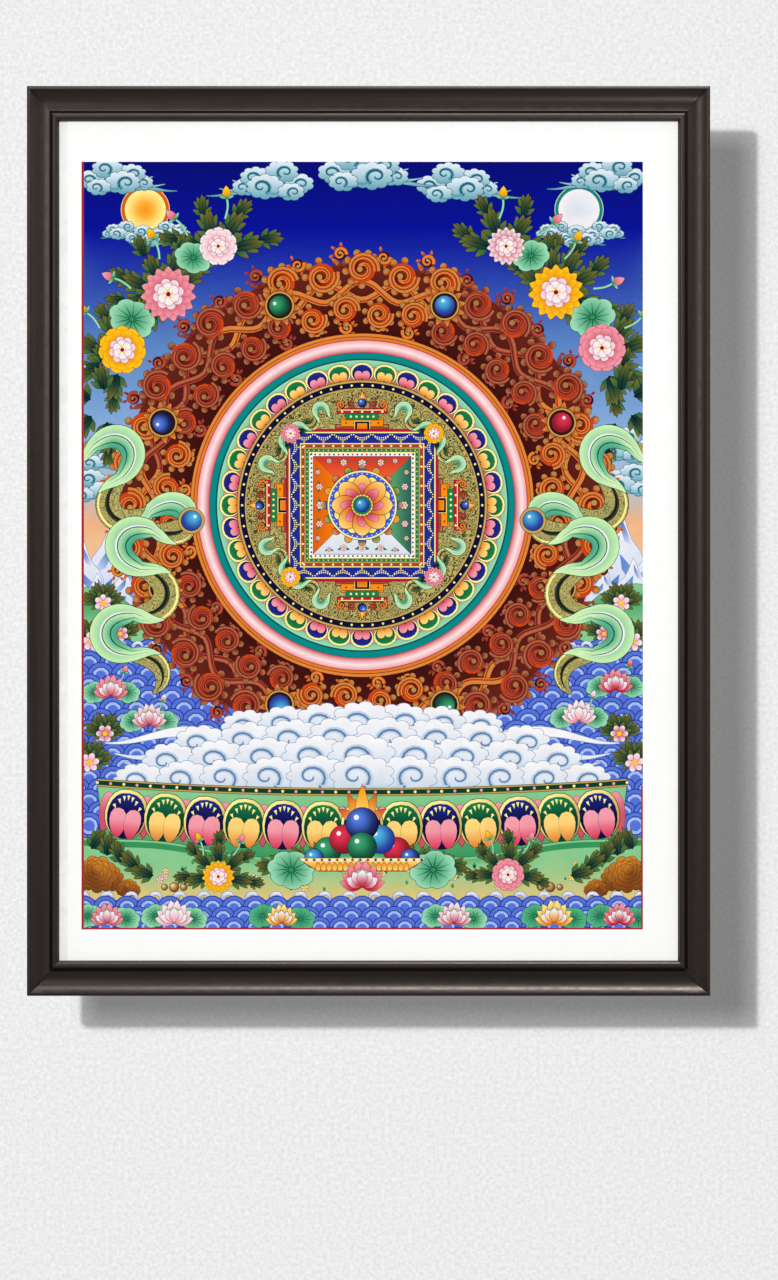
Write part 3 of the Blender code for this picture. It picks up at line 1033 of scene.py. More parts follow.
def rim_hues(turn):
    """Every second eighth of the circle is brick, the others are orange."""
    return RIM_HUES[int(math.floor(((turn + 22.5) % 360.0) / 45.0)) % 2]


def rim_leaves(turn, radius, size=1.0):
    """Two curved leaves that part from one foot."""
    for way in (-1, 1):
        leaflet = blade(15, 5.2, 0.45, bend=3.0 * way, steps=5)
        place = around(turn, radius, -30 * way, size)
        paint(leaflet, BRICK_DARK, rim_hues(turn)[0], along=up(2, 13), place=place, line=MAROON, thick=0.4)


def vine(turn, sign):
    """A stem that swings between the two rows of spirals: radius = 224 + 10 * cos(18 * angle)."""
    angle = np.radians(np.linspace(turn, turn + 22.0, 14))
    radius = VINE_RADIUS + sign * 10.0 * np.cos(18.0 * angle)
    path = pairs(-radius * np.sin(angle), radius * np.cos(angle))
    body, deep, tip = rim_hues(turn)
    paint(ribbon(path, 6.4), body, place=WHEEL, line=MAROON, thick=0.6)
    for shift, thick, colour in ((1.5, 1.3, tip), (-1.6, 1.6, deep)):
        paint(ribbon(path * (1.0 + shift / VINE_RADIUS), thick), colour, place=WHEEL)


def scroll_rim():
    """Two stems wind between two rows of large spirals, with small spirals along both edges."""
    paint(disc(252, 100), MAROON, BRICK_DARK, out=((0, 0), 180, 252), place=WHEEL)
    for number in range(36):
        turn, hand = 10.0 * (number + 0.5), (-1) ** number
        rim_leaves(turn, 248)
        small_scroll(around(turn, 261 + 2 * hand, 90, 7.8), rim_hues(turn), hand)
        rim_leaves(turn, 182, 0.9)
        small_scroll(around(turn, 186, -90, 7.6), rim_hues(turn), hand)
    for sign in (-1, 1):
        for number in range(18):
            vine(20.0 * number, sign)
    for radius, size in ((202, 13.4), (244, 15.6)):
        for number in range(36):
            turn = 10.0 * number + 5.0 * (radius < 220)
            hand = (-1) ** number
            scroll(around(turn, radius + 2.5 * hand, 90, size), rim_hues(turn), hand)
    petal = blade(22, 9, 0.5, steps=5)
    for number in range(8):
        place = around(45.0 * number + 22.5, 225)
        for turn in range(0, 360, 30):
            here = place @ at(turn=turn)
            paint(petal, BRICK_DARK, ORANGE, along=up(8, 20), place=here, line=MAROON, thick=0.5)
        paint(disc(15.0, 22), GOLD, place=place, line=MAROON)
        paint(disc(13.4, 22), MAROON, place=place)
        jewel(place @ at(size=10.6), JEWELS[number % 4], 18)


def bands():
    """From the rim inwards, each band a disc over the one before: radius, two colours, where they blend."""
    rings = (
        (213.0, ORANGE, ORANGE, 0, MAROON),
        (209.5, BRICK_DARK, BRICK_DARK, 0, None),
        (208.6, SAFFRON_DEEP, ORANGE, 203, None),
        (204.5, BLUSH, PINK, 198, WINE),
        (198.0, CRIMSON + 0.05, BLUSH, 188, None),
        (189.0, TEAL, TEAL, 0, TEAL_DARK),
        (182.0, TEAL, TEAL_DARK, 176, None),
        (180.0, MINT_DEEP, MINT, 152, INK),
    )
    for radius, inner, outer, blend_from, line in rings:
        paint(disc(radius, 120), inner, outer, out=((0, 0), blend_from, radius), place=INNER, line=line)
    lotus_petals(36, 152, 25, INNER)
    paint(disc(155, 100), GOLD, place=INNER, line=INK)
    paint(disc(152.5, 100), NAVY_DARK, place=INNER)
    beads(disc(149, 72), 1.5, (GOLD_PALE,), INNER)
    paint(disc(145.5, 96), GOLD, place=INNER)
    paint(disc(144, 96), OLIVE, OLIVE_DARK, out=((0, 0), 90, 144), place=INNER, mask=1.0)


scroll_rim()
bands()
print("with the rim:", len(brushwork), "shapes")

# %% [markdown]
# ## The palace
#
# A palace in plan: a gate on each side, walls hung with garlands, a court in four colours and a
# lotus of eight petals with a jewel in its heart.

# %% Gates, walls, court and lotus


def gate(place):
    """A stepped porch, widest at its foot and again at its roof."""
    storeys = (
        (66, 88, 100, BRICK, GOLD), (52, 98, 108, SAFFRON, BRICK), (40, 106, 116, GREEN, GOLD_PALE),
        (62, 114, 120, CRIMSON, GOLD_PALE),
    )
    for wide, low, high, colour, trim in storeys:
        paint(box(-0.5 * wide, low, 0.5 * wide, high), colour, place=place, line=INK, thick=0.5)
        paint(box(1.2 - 0.5 * wide, high - 2.4, 0.5 * wide - 1.2, high - 1.4), trim, place=place)
        for x in np.linspace(-0.5 * wide + 6, 0.5 * wide - 6, 5):
            paint(disc(1.5, 7), trim, place=place @ at(x, 0.5 * (low + high) - 1.0))
    paint(box(-9, 88, 9, 104), INK, place=place, line=GOLD_PALE)
    paint(box(-5.5, 88, 5.5, 101), EMBER, SAFFRON, along=up(88, 101), place=place, line=GOLD)
    for hand in (-1, 1):
        small_scroll(place @ at(26 * hand, 124, 20 * hand, 5.6), RIM_HUES[0], hand)
        small_scroll(place @ at(14 * hand, 126, 30 * hand, 5.0), RIM_HUES[1], -hand)
    flame(place @ at(0, 129, 0, 8.5))
    jewel(place @ at(0, 127, 0, 5.4), JEWELS[1], 14)


def walls():
    """Squares one inside the other; garlands, then rows of beads, along each side."""
    def squares(rows):
        """Half a side and a colour for each."""
        for half, colour in rows:
            paint(box(-half, -half, half, half), colour, place=INNER)

    squares(((94.6, INK), (94, CRIMSON), (91, GOLD_PALE), (89.5, NAVY)))
    for side in range(4):
        for spot in range(7):
            garland(within(90.0 * side) @ at(-72 + 24.0 * spot, 87.5), 21, 6.5)
    squares(((77, GOLD_PALE), (75.8, BRICK), (71.5, GOLD), (70.3, GREEN)))
    squares(((66, GOLD_PALE), (64.8, WHITE), (61, INK)))
    for side in range(4):
        turned = within(90.0 * side)
        beads([(-72 + 12.0 * spot, 73.6) for spot in range(13)], 1.5, (GOLD_PALE,), turned)
        beads([(-66 + 6.0 * spot, 68.2) for spot in range(23)], 0.9, (CREAM, PINK), turned)
        beads([(-64 + 5.8 * spot, 62.9) for spot in range(23)], 1.3, (CRIMSON, NAVY, FOREST), turned)


def court():
    """Four coloured quarters, each with flowers and leaves along its wall."""
    quarters = (
        (rgb(250, 120, 60), rgb(206, 52, 34)), (SAFFRON, SAFFRON_DEEP), (WHITE, SHELL),
        (rgb(120, 200, 130), GREEN_DARK + 0.15),
    )
    for side, (near, far) in enumerate(quarters):
        turned = within(90.0 * side)
        wedge = [(0, 0), (60.4, 60.4), (-60.4, 60.4)]
        paint(wedge, near, far, along=up(20, 60), place=turned, line=INK, thick=0.3)
        for x, y, size in ((0, 52, 4.8), (-23, 53, 4.0), (23, 53, 4.0), (-41, 55, 2.8), (41, 55, 2.8)):
            for turn in (-75, 75):
                leaflet, here = blade(1.9, 0.7, 0.5), turned @ at(x, y, turn, size)
                paint(leaflet, FOREST, MINT_DEEP, along=up(0, 1.8), place=here, line=INK, thick=0.25)
            small_flower(turned @ at(x, y, 0, size))


def heart_lotus():
    """Sixteen outer petals, a blue disc, and two rows of eight petals round a jewel."""
    tip = blade(11, 9.6, 0.52, tip=0.5, steps=5)
    for number, skin in enumerate((NAVY, GREEN, CRIMSON, SAFFRON) * 4):
        paint(tip, GOLD, skin, along=up(10, 4), place=within(22.5 * number, 39), line=INK, thick=0.5)
    paint(disc(43, 56), GOLD_PALE, place=INNER, line=INK)
    paint(disc(41, 56), NAVY, rgb(60, 96, 214), out=((0, 0), 10, 41), place=INNER, rings=(0.5,))
    beads(disc(39.2, 40), 0.8, (WHITE,), INNER)
    back, petal = blade(37, 21, 0.6, tip=0.62, steps=9), blade(38, 24, 0.58, tip=0.62, steps=9)
    heart = blade(27, 13, 0.58, tip=0.62)
    for number in range(8):
        place = within(45.0 * number + 22.5)
        paint(back, AMBER, GOLD_PALE, along=up(16, 37), place=place, line=INK)
    for number in range(8):
        place = within(45.0 * number)
        paint(petal, SAFFRON_DEEP, CREAM, along=up(10, 37), place=place, line=INK)
        paint(heart, CRIMSON, PINK, along=up(8, 27), place=place, line=WINE, thick=0.4)
        for shift in (-1.6, 1.6):
            stroke(np.array([[0.4 * shift, 12], [shift, 18], [0.5 * shift, 24]]), 0.5, WINE, place)
    paint(disc(13.5, 28), GOLD, place=INNER, line=INK)
    beads(disc(12.4, 18), 0.9, (GOLD_PALE,), INNER)
    paint(disc(10.9, 28), GREEN, place=INNER, line=INK, thick=0.4)
    jewel(INNER @ at(size=8.4), JEWELS[3], 24)


for side in range(4):
    gate(within(90.0 * side))
walls()
court()
heart_lotus()
print("with the palace:", len(brushwork), "shapes")

# %% Silk and flowers in the court, and scarves that hang from the rim


def court_silk():
    """A flower and two silks in each corner outside the palace."""
    path = (5, 127) + wander(84.0, 20, -66, 72, 1.45, 0.47, 40)
    for corner in range(4):
        place = within(45 + 90.0 * corner)
        for hand in (-1, 1):
            for number in range(3):
                leaf(place @ at(hand * (9 + 4 * number), 116 + 3 * number, -hand * (50 + 32 * number), 15))
            silk(place @ at(mirror=hand), path, 9.5)
        pointed = corner % 2 == 0
        peony(place @ at(0, 126, 0, 12.5), PINK if pointed else YELLOW, ROSE if pointed else AMBER, pointed)


def rim_scarves():
    """Two on each side leave a jewel on the rim: one climbs, one falls and curls back in."""
    climbing = (180, 28) + wander(270.0, 52, -6, 84, 1.55, 0.46)
    falling = (180, 24) + wander(360.0, -66, -30, 84, 2.1, 0.02, 72)
    for hand in (-1, 1):
        place = at(mirror=hand)
        silk(place, climbing, 26.0)
        silk(place, falling, 28.0)
        paint(disc(13.5, 24), GOLD, place=place @ at(178, 26), line=MAROON)
        jewel(place @ at(178, 26, 0, 10.6), JEWELS[3], 20)


court_silk()
rim_scarves()
print("with the silk:", len(brushwork), "shapes")

# %% [markdown]
# ## The foreground
#
# A bank of white clouds carries the wheel, the palest part of the picture.  In front of it a row of
# lotus petals, a meadow and a strip of water close the picture below.

# %% Cloud bank and petals


def cloud_bank():
    """Long tails of mist at both ends, then four rows of cloud heads, outermost first."""
    hues = (BANK, BANK_SHADE, BANK_LINE)
    u = np.linspace(0.0, 1.0, 16)
    tail = {"taper": 0.95, "to": BANK_SHADE, "along": up(-196, -262), "line": BANK_LINE}
    for hand in (-1, 1):
        for number in range(4):
            path = pairs(150 + (118 - 10 * number) * u, -200 - 15 * number + 6.0 * np.sin(5.0 * u + number))
            stroke(path, 15, BANK, at(mirror=hand), **tail)
    rows = ((-184, 7, 120, 33), (-201, 8, 168, 35), (-220, 9, 200, 36), (-240, 11, 232, 34))
    for low, count, spread, size in rows:
        spots = np.linspace(-1.0, 1.0, count)
        for spot in spots[np.argsort(-np.abs(spots))]:
            big = size * (1.0 - 0.18 * abs(spot))
            puff(at(spread * spot, low - 5.0 * spot**2, 0, big), hues, 11, 1.0 if spot > 0 else -1.0)


def petal_row():
    """Broad petals stand on a green base, navy and green by turns, as they do round the wheel."""
    u = np.linspace(-1.0, 1.0, 41)
    rail = pairs(276.0 * u, -257.0 + 10.0 * u**2)
    base = np.concatenate([rail, pairs(268.0 * u, -327.0 + 14.0 * u**2)[::-1]])
    paint(base, MEADOW, MEADOW_DEEP, along=up(-262, -330), line=FOREST, thick=0.7)
    spots = np.linspace(-1.0, 1.0, 13)
    places = [at(250.0 * spot, -318.0 + 13.0 * spot**2, 9.0 * spot) for spot in spots]
    outermost_first = np.argsort(-np.abs(spots))
    for number in outermost_first:
        for hand in (-1, 1):
            tip, place = blade(44, 15, 0.6, tip=0.5), places[number] @ at(20.8 * hand, 2)
            paint(tip, ROSE, PINK, along=up(20, 44), place=place, line=WINE, thick=0.4)
    for number in outermost_first:
        place = places[number]
        dark, skin = ((NAVY_DARK, NAVY), (GREEN_DARK, GREEN))[number % 2]
        deep, heart = ((CRIMSON + 0.12, PINK), (ORANGE, CREAM))[number % 2]
        edge, skin_shape = (blade(*size, 0.5, tip=0.4, steps=10) for size in ((51, 44), (47.5, 39.5)))
        across = ((-14, 40), (14, 10))
        paint(edge, GOLD_PALE, GOLD, along=across, place=place, line=INK, thick=0.7)
        paint(skin_shape, skin, dark, along=up(47, 24), place=place)
        for share in np.linspace(-0.8, 0.8, 7):
            spine = place @ at(17.0 * share, 44.0 - 17.0 * share**2, -38.0 * share)
            paint([(-1.6, 1.0), (0.0, -4.4), (1.6, 1.0)], GOLD_PALE, place=spine)
        for hand in (-1, 1):
            half, shape = place @ at(6.4 * hand, 0, -4 * hand), blade(31, 17.5, 0.6, tip=0.42)
            paint(shape, deep, heart, along=up(1, 20), place=half, line=skin, thick=0.3)
    paint(ribbon(rail, 7.4), GOLD, line=INK)
    paint(ribbon(rail, 4.8), GREEN_DARK)
    beads(rail, 1.6, (GOLD_PALE, PINK), at())


cloud_bank()
petal_row()
print("with the cloud bank:", len(brushwork), "shapes")

# %% Meadow and the offering of jewels


def ground(x):
    """The meadow's height without the shore's waves: -321 + 22 * |x / 300|^3."""
    return -321 + 22 * abs(x / 300) ** 3


def meadow():
    """A wavy shore: y = -321 + 5 * cos(9u) + 22 * |u|^3, with grass, flowers and rocks."""
    u = np.linspace(-1.0, 1.0, 45)
    shore = pairs(300 * u, -321 + 5 * np.cos(9.0 * u) + 22 * np.abs(u) ** 3)
    grass = np.concatenate([[[-300, -372], [300, -372]], shore[::-1]])
    paint(grass, MEADOW, MEADOW_SUN, along=up(-334, -368), line=FOREST)
    paint(ribbon(shore - (0, 5), 6.0), MEADOW_DEEP, MEADOW, along=up(-318, -334))
    chance = np.random.default_rng(4)
    for x, drop, size in zip(*(chance.uniform(*ends, 46) for ends in ((-285, 285), (14, 40), (3.5, 7.0)))):
        place = at(x, ground(x) - drop, chance.uniform(-12, 12), size)
        tuft(place, (FOREST, MEADOW_DEEP)[int(size * 10) % 2])
    for x, drop in zip(chance.uniform(-280, 280, 20), chance.uniform(14, 38, 20)):
        place = at(x, ground(x) - drop)
        small_flower(place @ at(size=chance.uniform(2.6, 3.8)), WHITE, (PINK, YELLOW)[int(drop) % 2], 5)
    for hand in (-1, 1):
        for number in range(5):
            leaf(at(hand * (282 - 16 * number), -316 - 7 * number, -hand * (26 * number - 30), 23))
        rock(at(hand * 276, -345, 0, 21, hand), 3)
        rock(at(hand * 244, -358, 0, 10, hand), 5)
        for x, size in ((196, 5.0), (186, 3.6), (206, 3.2)):
            jewel(at(hand * x, -356, 0, size), ((MEADOW_SUN, ROCK_DARK), (SHELL, BANK_LINE))[x % 2], 10)


def offering():
    """A golden tray of jewels under a flame, among leaves."""
    place = at(0, -320)
    for hand in (-1, 1):
        for number in range(4):
            leaf(place @ at(hand * (40 + 15 * number), -14, -hand * (26 + 22 * number), 25))
        lotus_leaf(place @ at(74 * hand, -18, 10 * hand, 25))
    flame(place @ at(0, 26, 0, 30))
    heap = (
        (-36, 2, 14, 0), (36, 2, 14, 2), (-19, 14, 15, 2), (19, 14, 15, 3), (0, 30, 17, 1), (0, 6, 15, 0),
        (-50, -6, 10, 3), (50, -6, 10, 1),
    )
    for x, y, size, kind in heap:
        jewel(place @ at(x, y, 0, size), JEWELS[kind], 22)
    tray = [(-66, -6), (66, -6), (56, -13), (46, -19), (-46, -19), (-56, -13)]
    paint(tray, GOLD_PALE, AMBER, along=up(-6, -19), place=place, line=MAROON, thick=0.7)
    petal = blade(9, 5.0, 0.55, tip=0.5, steps=5)
    for x in np.linspace(-46, 46, 17):
        here = place @ at(x, -10, 180)
        paint(petal, AMBER, CREAM, along=up(0, 8), place=here, line=GOLD_DARK, thick=0.35)
    beads(pairs(np.linspace(-62, 62, 32), np.full(32, -7.6)), 1.5, (WHITE, CRIMSON, WHITE, NAVY), place)
    lotus(place @ at(0, -36, 0, 27), PINK, CRIMSON)


meadow()
offering()
print("with the meadow:", len(brushwork), "shapes")

# %% Water in front, its flowers, and the painted red line at the cloth's edge


def front_water():
    """A strip of wave scales under a row of crests that turn outwards."""
    paint(box(LEFT, -TOP, -LEFT, -369), WATER, WATER_DARK, along=up(-369, -402))
    for number in range(24):
        crest(at(-290 + 25.2 * number, -368, 0, 7.0), 1 if number < 12 else -1)
    water(-378, 4, 15, 13.5)


def front_flowers():
    """A spray on each side of the offering and a row of lotuses on the water."""
    for x, y, size, kind in ((-150, -345, 17, 1), (152, -343, 17, 0)):
        spray(at(x, y, 0, 0.72), 5, 2, abs(x))
        peony(at(x, y, 0, size), (PINK, YELLOW)[kind], (ROSE, AMBER)[kind], kind == 1)
    row = (
        (-196, 23, WHITE, PINK), (-84, 19, GOLD_PALE, AMBER), (96, 21, WHITE, ROSE),
        (200, 23, GOLD_PALE, AMBER), (-266, 20, PINK, ROSE), (268, 20, PINK, CRIMSON),
    )
    for number, (x, size, tip, deep) in enumerate(row):
        for shift, lift, turn in ((-20, 2, 20), (20, -1, -15)):
            lotus_leaf(at(x + shift, -388 + lift, turn, 15), (MINT, MINT_DEEP + 0.15)[number % 2])
        lotus(at(x, -393, 0, size), tip, deep)


def red_line():
    """The red border that shows on the left, along the foot and low on the right."""
    for sides in ((-292.5, -400, -290, 400), (-292.5, -400, 292.5, -398.4), (290.6, -400, 292.5, -250)):
        paint(box(*sides), BORDER_RED)


front_water()
front_flowers()
red_line()
outlines, near_colours, far_colours, fields, extras, masks = zip(*brushwork)
print("the whole picture:", len(outlines), "shapes,", sum(len(outline) for outline in outlines), "points")

# %% [markdown]
# ## From painted shapes to one cloth
#
# A painter lays one shape over another, but a cloth is a single surface, so the shapes are cut into
# one flat map.  A first Delaunay triangulation holds every outline, and the last shape painted over
# a triangle owns it.  Only the edges between two owners can be seen.  They are kept, points in the
# middle of a straight edge are dropped, and a second triangulation of what is left gives a clean
# sheet with crisp painted edges and few triangles.  The first map has about a million triangles,
# which would fill several gigabytes at once, so it is made tile by tile.  The tiles' sides lie off
# the design's round numbers, so that no painted edge runs along one.

# %% First map: who owns each triangle
SHEET = box(-0.5 * WIDE, -0.5 * TALL, 0.5 * WIDE, 0.5 * TALL)
SNAP = 0.02
FILLED_AT_LEAST, AREA_TO_SPARE = 0.85, 0.3
TILE_SIDES = np.array([SHEET[0, 0], -97.31, 96.43, SHEET[2, 0]])
TILE_ENDS = np.array([SHEET[0, 1], -243.17, -84.61, 41.39, 167.83, SHEET[2, 1]])


def inside_outline(points, outline):
    """The edges that pass to the right of a point, counted up or down, don't cancel out."""
    x, y = points.T
    x0, y0 = outline.T[:, :, None]
    x1, y1 = np.roll(outline, -1, axis=0).T[:, :, None]
    side = (x1 - x0) * (y - y0) - (x - x0) * (y1 - y0)
    rising = (y0 <= y) & (y1 > y) & (side > 0)
    falling = (y0 > y) & (y1 <= y) & (side < 0)
    return rising.sum(axis=0) != falling.sum(axis=0)


def misread_shapes(triangle, shape, corners, shapes):
    """Shapes whose fill ran over their outline or stopped short where the outline crosses itself."""
    a, b, c = np.moveaxis(corners, 1, 0)
    size = 0.5 * ((b - a)[:, 0] * (c - a)[:, 1] - (b - a)[:, 1] * (c - a)[:, 0])
    middle = corners.mean(axis=1)
    low = np.array([outline.min(axis=0) for outline in shapes]) - SNAP
    high = np.array([outline.max(axis=0) for outline in shapes]) + SNAP
    outside = ((middle[triangle] < low[shape]) | (middle[triangle] > high[shape])).any(axis=1)
    filled = np.bincount(shape, weights=size[triangle], minlength=len(shapes))
    whole = np.array([abs(area(outline)) for outline in shapes])
    short = filled < FILLED_AT_LEAST * whole - AREA_TO_SPARE
    return np.union1d(shape[outside], np.flatnonzero(short))


def first_map(tile):
    """Triangulates a tile and the outlines that reach it; a triangle's owner is its highest shape.
    Also says, for each point, which shape it was put into for its shading, or -2."""
    low, high = tile[0] - 5.0 * SNAP, tile[2] + 5.0 * SNAP
    numbers = [
        number for number, outline in enumerate(outlines)
        if (outline.max(axis=0) > low).all() and (outline.min(axis=0) < high).all()
    ]
    shapes = [tile, *(outlines[number] for number in numbers)]
    ends = np.cumsum([0] + [len(outline) for outline in shapes])
    faces = [list(range(start, end)) for start, end in zip(ends, ends[1:])]
    inner = [(number + 1, extras[number]) for number in numbers if extras[number] is not None]
    inner_shape = np.repeat([number for number, _ in inner], [len(extra) for _, extra in inner]).astype(int)
    points = np.concatenate([*shapes, *(extra for _, extra in inner)])
    made = delaunay_2d_cdt([Vector(p) for p in points.tolist()], [], faces, 1, SNAP, True)
    flat, triangles = np.array([p[:] for p in made[0]]), np.array(made[2])
    triangle = np.repeat(np.arange(len(triangles)), [len(inside) for inside in made[5]])
    shape = np.fromiter(chain.from_iterable(made[5]), int)
    misread = misread_shapes(triangle, shape, flat[triangles], shapes)
    sound = ~np.isin(shape, misread)
    owner = np.full(len(triangles), -1)
    np.maximum.at(owner, triangle[sound], shape[sound])
    middles = flat[triangles].mean(axis=1)
    for number in misread.tolist():
        near = (middles > shapes[number].min(axis=0)) & (middles < shapes[number].max(axis=0))
        near = np.flatnonzero(near.all(axis=1))
        within = near[inside_outline(middles[near], shapes[number])]
        owner[within] = np.maximum(owner[within], number)
    on_tile = ((middles > tile[0]) & (middles < tile[2])).all(axis=1)
    source = np.array([max(made_of, default=-1) for made_of in made[3]])
    inner_of = np.full(len(flat), -2)
    inner_of[source >= ends[-1]] = inner_shape[source[source >= ends[-1]] - ends[-1]]
    return flat, triangles[on_tile], np.append(np.array(numbers) + 1, 0)[owner[on_tile] - 1], inner_of


def whole_map():
    """The tiles' maps as one; points of two tiles that are the same to 0.001 mm become one point."""
    tiles = [
        box(left, bottom, right, top)
        for left, right in zip(TILE_SIDES, TILE_SIDES[1:]) for bottom, top in zip(TILE_ENDS, TILE_ENDS[1:])
    ]
    flats, triangles, owners, inners = zip(*(first_map(tile) for tile in tiles))
    starts = np.cumsum([0] + [len(flat) for flat in flats])
    triangles = np.concatenate([corners + start for corners, start in zip(triangles, starts)])
    flat, place = np.unique(np.round(np.concatenate(flats), 3), axis=0, return_inverse=True)
    place, inner = place.ravel(), np.concatenate(inners)
    inner_of = np.full(len(flat), -2)
    inner_of[place[inner >= 0]] = inner[inner >= 0]
    near_edge = np.abs(np.abs(flat) - SHEET[2]) < 2.0 * SNAP
    flat = np.where(near_edge, np.sign(flat) * SHEET[2], flat)
    return flat, place[triangles], np.concatenate(owners), inner_of


flat, triangles, owner, inner_of = whole_map()
print("first map:", len(triangles), "triangles,", len(np.unique(owner)), "shapes show")

# %% The edges that can be seen, without the points that a straight edge doesn't need
STRAIGHT_WITHIN = 0.12
ROUNDS = 8


def seen_edges(triangles, owner, count):
    """An edge is seen where its two triangles have different owners, or where it has only one."""
    ends = np.sort(np.concatenate([triangles[:, [0, 1]], triangles[:, [1, 2]], triangles[:, [2, 0]]]), axis=1)
    key = ends[:, 0].astype(np.int64) * count + ends[:, 1]
    order = np.argsort(key, kind="stable")
    key, who = key[order], np.tile(owner, 3)[order]
    same = np.append(key[1:] == key[:-1], False)
    first = np.append(True, ~same[:-1])
    twin = np.append(who[1:], -1)
    seen = first & (~same | (who != twin))
    low, high = np.minimum(who, twin), np.maximum(who, twin)
    low, high = np.where(same, low, -1), np.where(same, high, who)
    return pairs(key // count, key % count)[seen], (low * (len(outlines) + 2) + high)[seen]


def without_straight_points(edges, pair, points):
    """Drops, in rounds, each point between two edges of the same two owners that lies within
    STRAIGHT_WITHIN of the line between its neighbours, never two neighbours in one round: of two, the
    one with the higher rank goes, and two primes scatter the ranks."""
    count = len(points)
    for _ in range(ROUNDS):
        ends = edges.ravel()
        other = edges[:, ::-1].ravel()
        order = np.argsort(ends, kind="stable")
        degree = np.bincount(ends, minlength=count)
        start = np.cumsum(degree) - degree
        middle = np.flatnonzero(degree == 2)
        first, second = order[start[middle]], order[start[middle] + 1]
        a, b = points[other[first]], points[other[second]]
        chord = b - a
        length = np.maximum(np.hypot(*chord.T), 1e-9)
        offset = np.abs(np.cross(chord, points[middle] - a)) / length
        share = np.sum((points[middle] - a) * chord, axis=1) / length**2
        fits = (offset < STRAIGHT_WITHIN) & (share > 0) & (share < 1)
        fits &= (pair[first // 2] == pair[second // 2]) & (length > 1e-6)
        rank = np.zeros(count)
        rank[middle[fits]] = 1.0 + (middle[fits] * 7919 % 10007)
        goes = fits & (rank[middle] > rank[other[first]]) & (rank[middle] > rank[other[second]])
        if not goes.any():
            break
        kept = np.ones(len(edges), bool)
        kept[first[goes] // 2] = False
        kept[second[goes] // 2] = False
        edges = np.concatenate([edges[kept], pairs(other[first[goes]], other[second[goes]])])
        pair = np.concatenate([pair[kept], pair[first[goes] // 2]])
    return edges


def between_tiles(edges):
    """Edges that run along a side that two tiles share, which nobody painted."""
    found = np.zeros(len(edges), bool)
    for axis, sides in enumerate((TILE_SIDES, TILE_ENDS)):
        for side in sides[1:-1]:
            found |= (np.abs(flat[edges, axis] - side) < 2.0 * SNAP).all(axis=1)
    return found


edges, pair = seen_edges(triangles, owner, len(flat))
painted_over = ~between_tiles(edges)
kept_edges = without_straight_points(edges[painted_over], pair[painted_over], flat)
print("seen edges:", len(edges), "of which kept", len(kept_edges))

# %% Second map: only what shows
SLIVER = 1e-7


def kept_extras():
    """The points inside a shaded shape that still lie wholly within it."""
    lowest = np.full(len(flat), 1 << 30)
    highest = np.full(len(flat), -1)
    np.minimum.at(lowest, triangles.ravel(), np.repeat(owner, 3))
    np.maximum.at(highest, triangles.ravel(), np.repeat(owner, 3))
    return np.flatnonzero((lowest == inner_of) & (highest == inner_of))


def second_map():
    """Triangulates the kept edges; a triangle's owner is that of the first map at its middle."""
    used = np.union1d(np.unique(kept_edges), kept_extras())
    place = np.zeros(len(flat), int)
    place[used] = np.arange(len(used))
    points = [Vector(p) for p in flat[used].tolist()]
    made = delaunay_2d_cdt(points, place[kept_edges].tolist(), [], 0, 0.1 * SNAP, False)
    corners, faces = np.array([p[:] for p in made[0]]), np.array(made[2])
    a, b, c = np.moveaxis(corners[faces], 1, 0)
    turned = (b - a)[:, 0] * (c - a)[:, 1] - (b - a)[:, 1] * (c - a)[:, 0]
    faces = np.where(turned[:, None] < 0, faces[:, ::-1], faces)[np.abs(turned) > SLIVER]
    tree = BVHTree.FromPolygons(np.pad(flat, ((0, 0), (0, 1))).tolist(), triangles.tolist())
    middles = np.pad(corners[faces].mean(axis=1), ((0, 0), (0, 1)))
    return corners, faces, owner[[tree.find_nearest(middle)[2] for middle in middles.tolist()]]


flat, triangles, owner = second_map()
print("second map:", len(triangles), "triangles")

# %% [markdown]
# ## The painted cotton
#
# The cloth is a thin primed sheet, cut straight on all four sides.  Its front is the map above,
# its four cut edges are a narrow wall and its back is plain cotton.  The colour is stored at each
# corner of each face, so that a shape keeps a crisp edge and can still be shaded within itself.

# %% Colour of every corner


def linear(colour):
    """Screen values to light: c / 12.92 for dark values and ((c + 0.055) / 1.055) ^ 2.4 above them."""
    colour = np.asarray(colour, float)
    return np.where(colour < 0.04045, colour / 12.92, ((np.maximum(colour, 0.04) + 0.055) / 1.055) ** 2.4)


def shade(shape, points):
    """A mix of the shape's two colours by the distance along its line, or out from its middle."""
    kind, x0, y0, x1, y1 = np.array(fields)[shape].T
    along_x, along_y = x1 - x0, y1 - y0
    x, y = points[:, 0] - x0, points[:, 1] - y0
    straight = (x * along_x + y * along_y) / np.maximum(along_x**2 + along_y**2, 1e-9)
    outward = (np.hypot(x, y) - x1) / np.maximum(y1 - x1, 1e-9)
    share = np.where(kind == LINEAR, straight, np.where(kind == ROUND, outward, 0.0))
    share = np.clip(share, 0.0, 1.0)[:, None]
    return (1.0 - share) * np.array(near_colours)[shape] + share * np.array(far_colours)[shape]


painted = linear(shade(np.repeat(owner - 1, 3), flat[triangles.ravel()]))
print("colours of", len(painted), "corners, mean", np.round(painted.mean(axis=0), 2))

# %% The cloth as one closed sheet
RAW_COTTON = rgb(226, 216, 196)
BAKE_STRIP, FRONT_FROM = 0.02, 0.03


def boundary_loop(points):
    """The points on the sheet's edge, in order once round it from the lower left corner."""
    x, y = (points / SHEET[2]).T
    distance = np.full(len(points), -1.0)
    for on_side, along in ((x == -1, 7 - y), (y == 1, 5 - x), (x == 1, 3 + y), (y == -1, 1 + x)):
        distance[on_side] = along[on_side]
    found = np.flatnonzero(distance >= 0.0)
    return found[np.argsort(distance[found])]


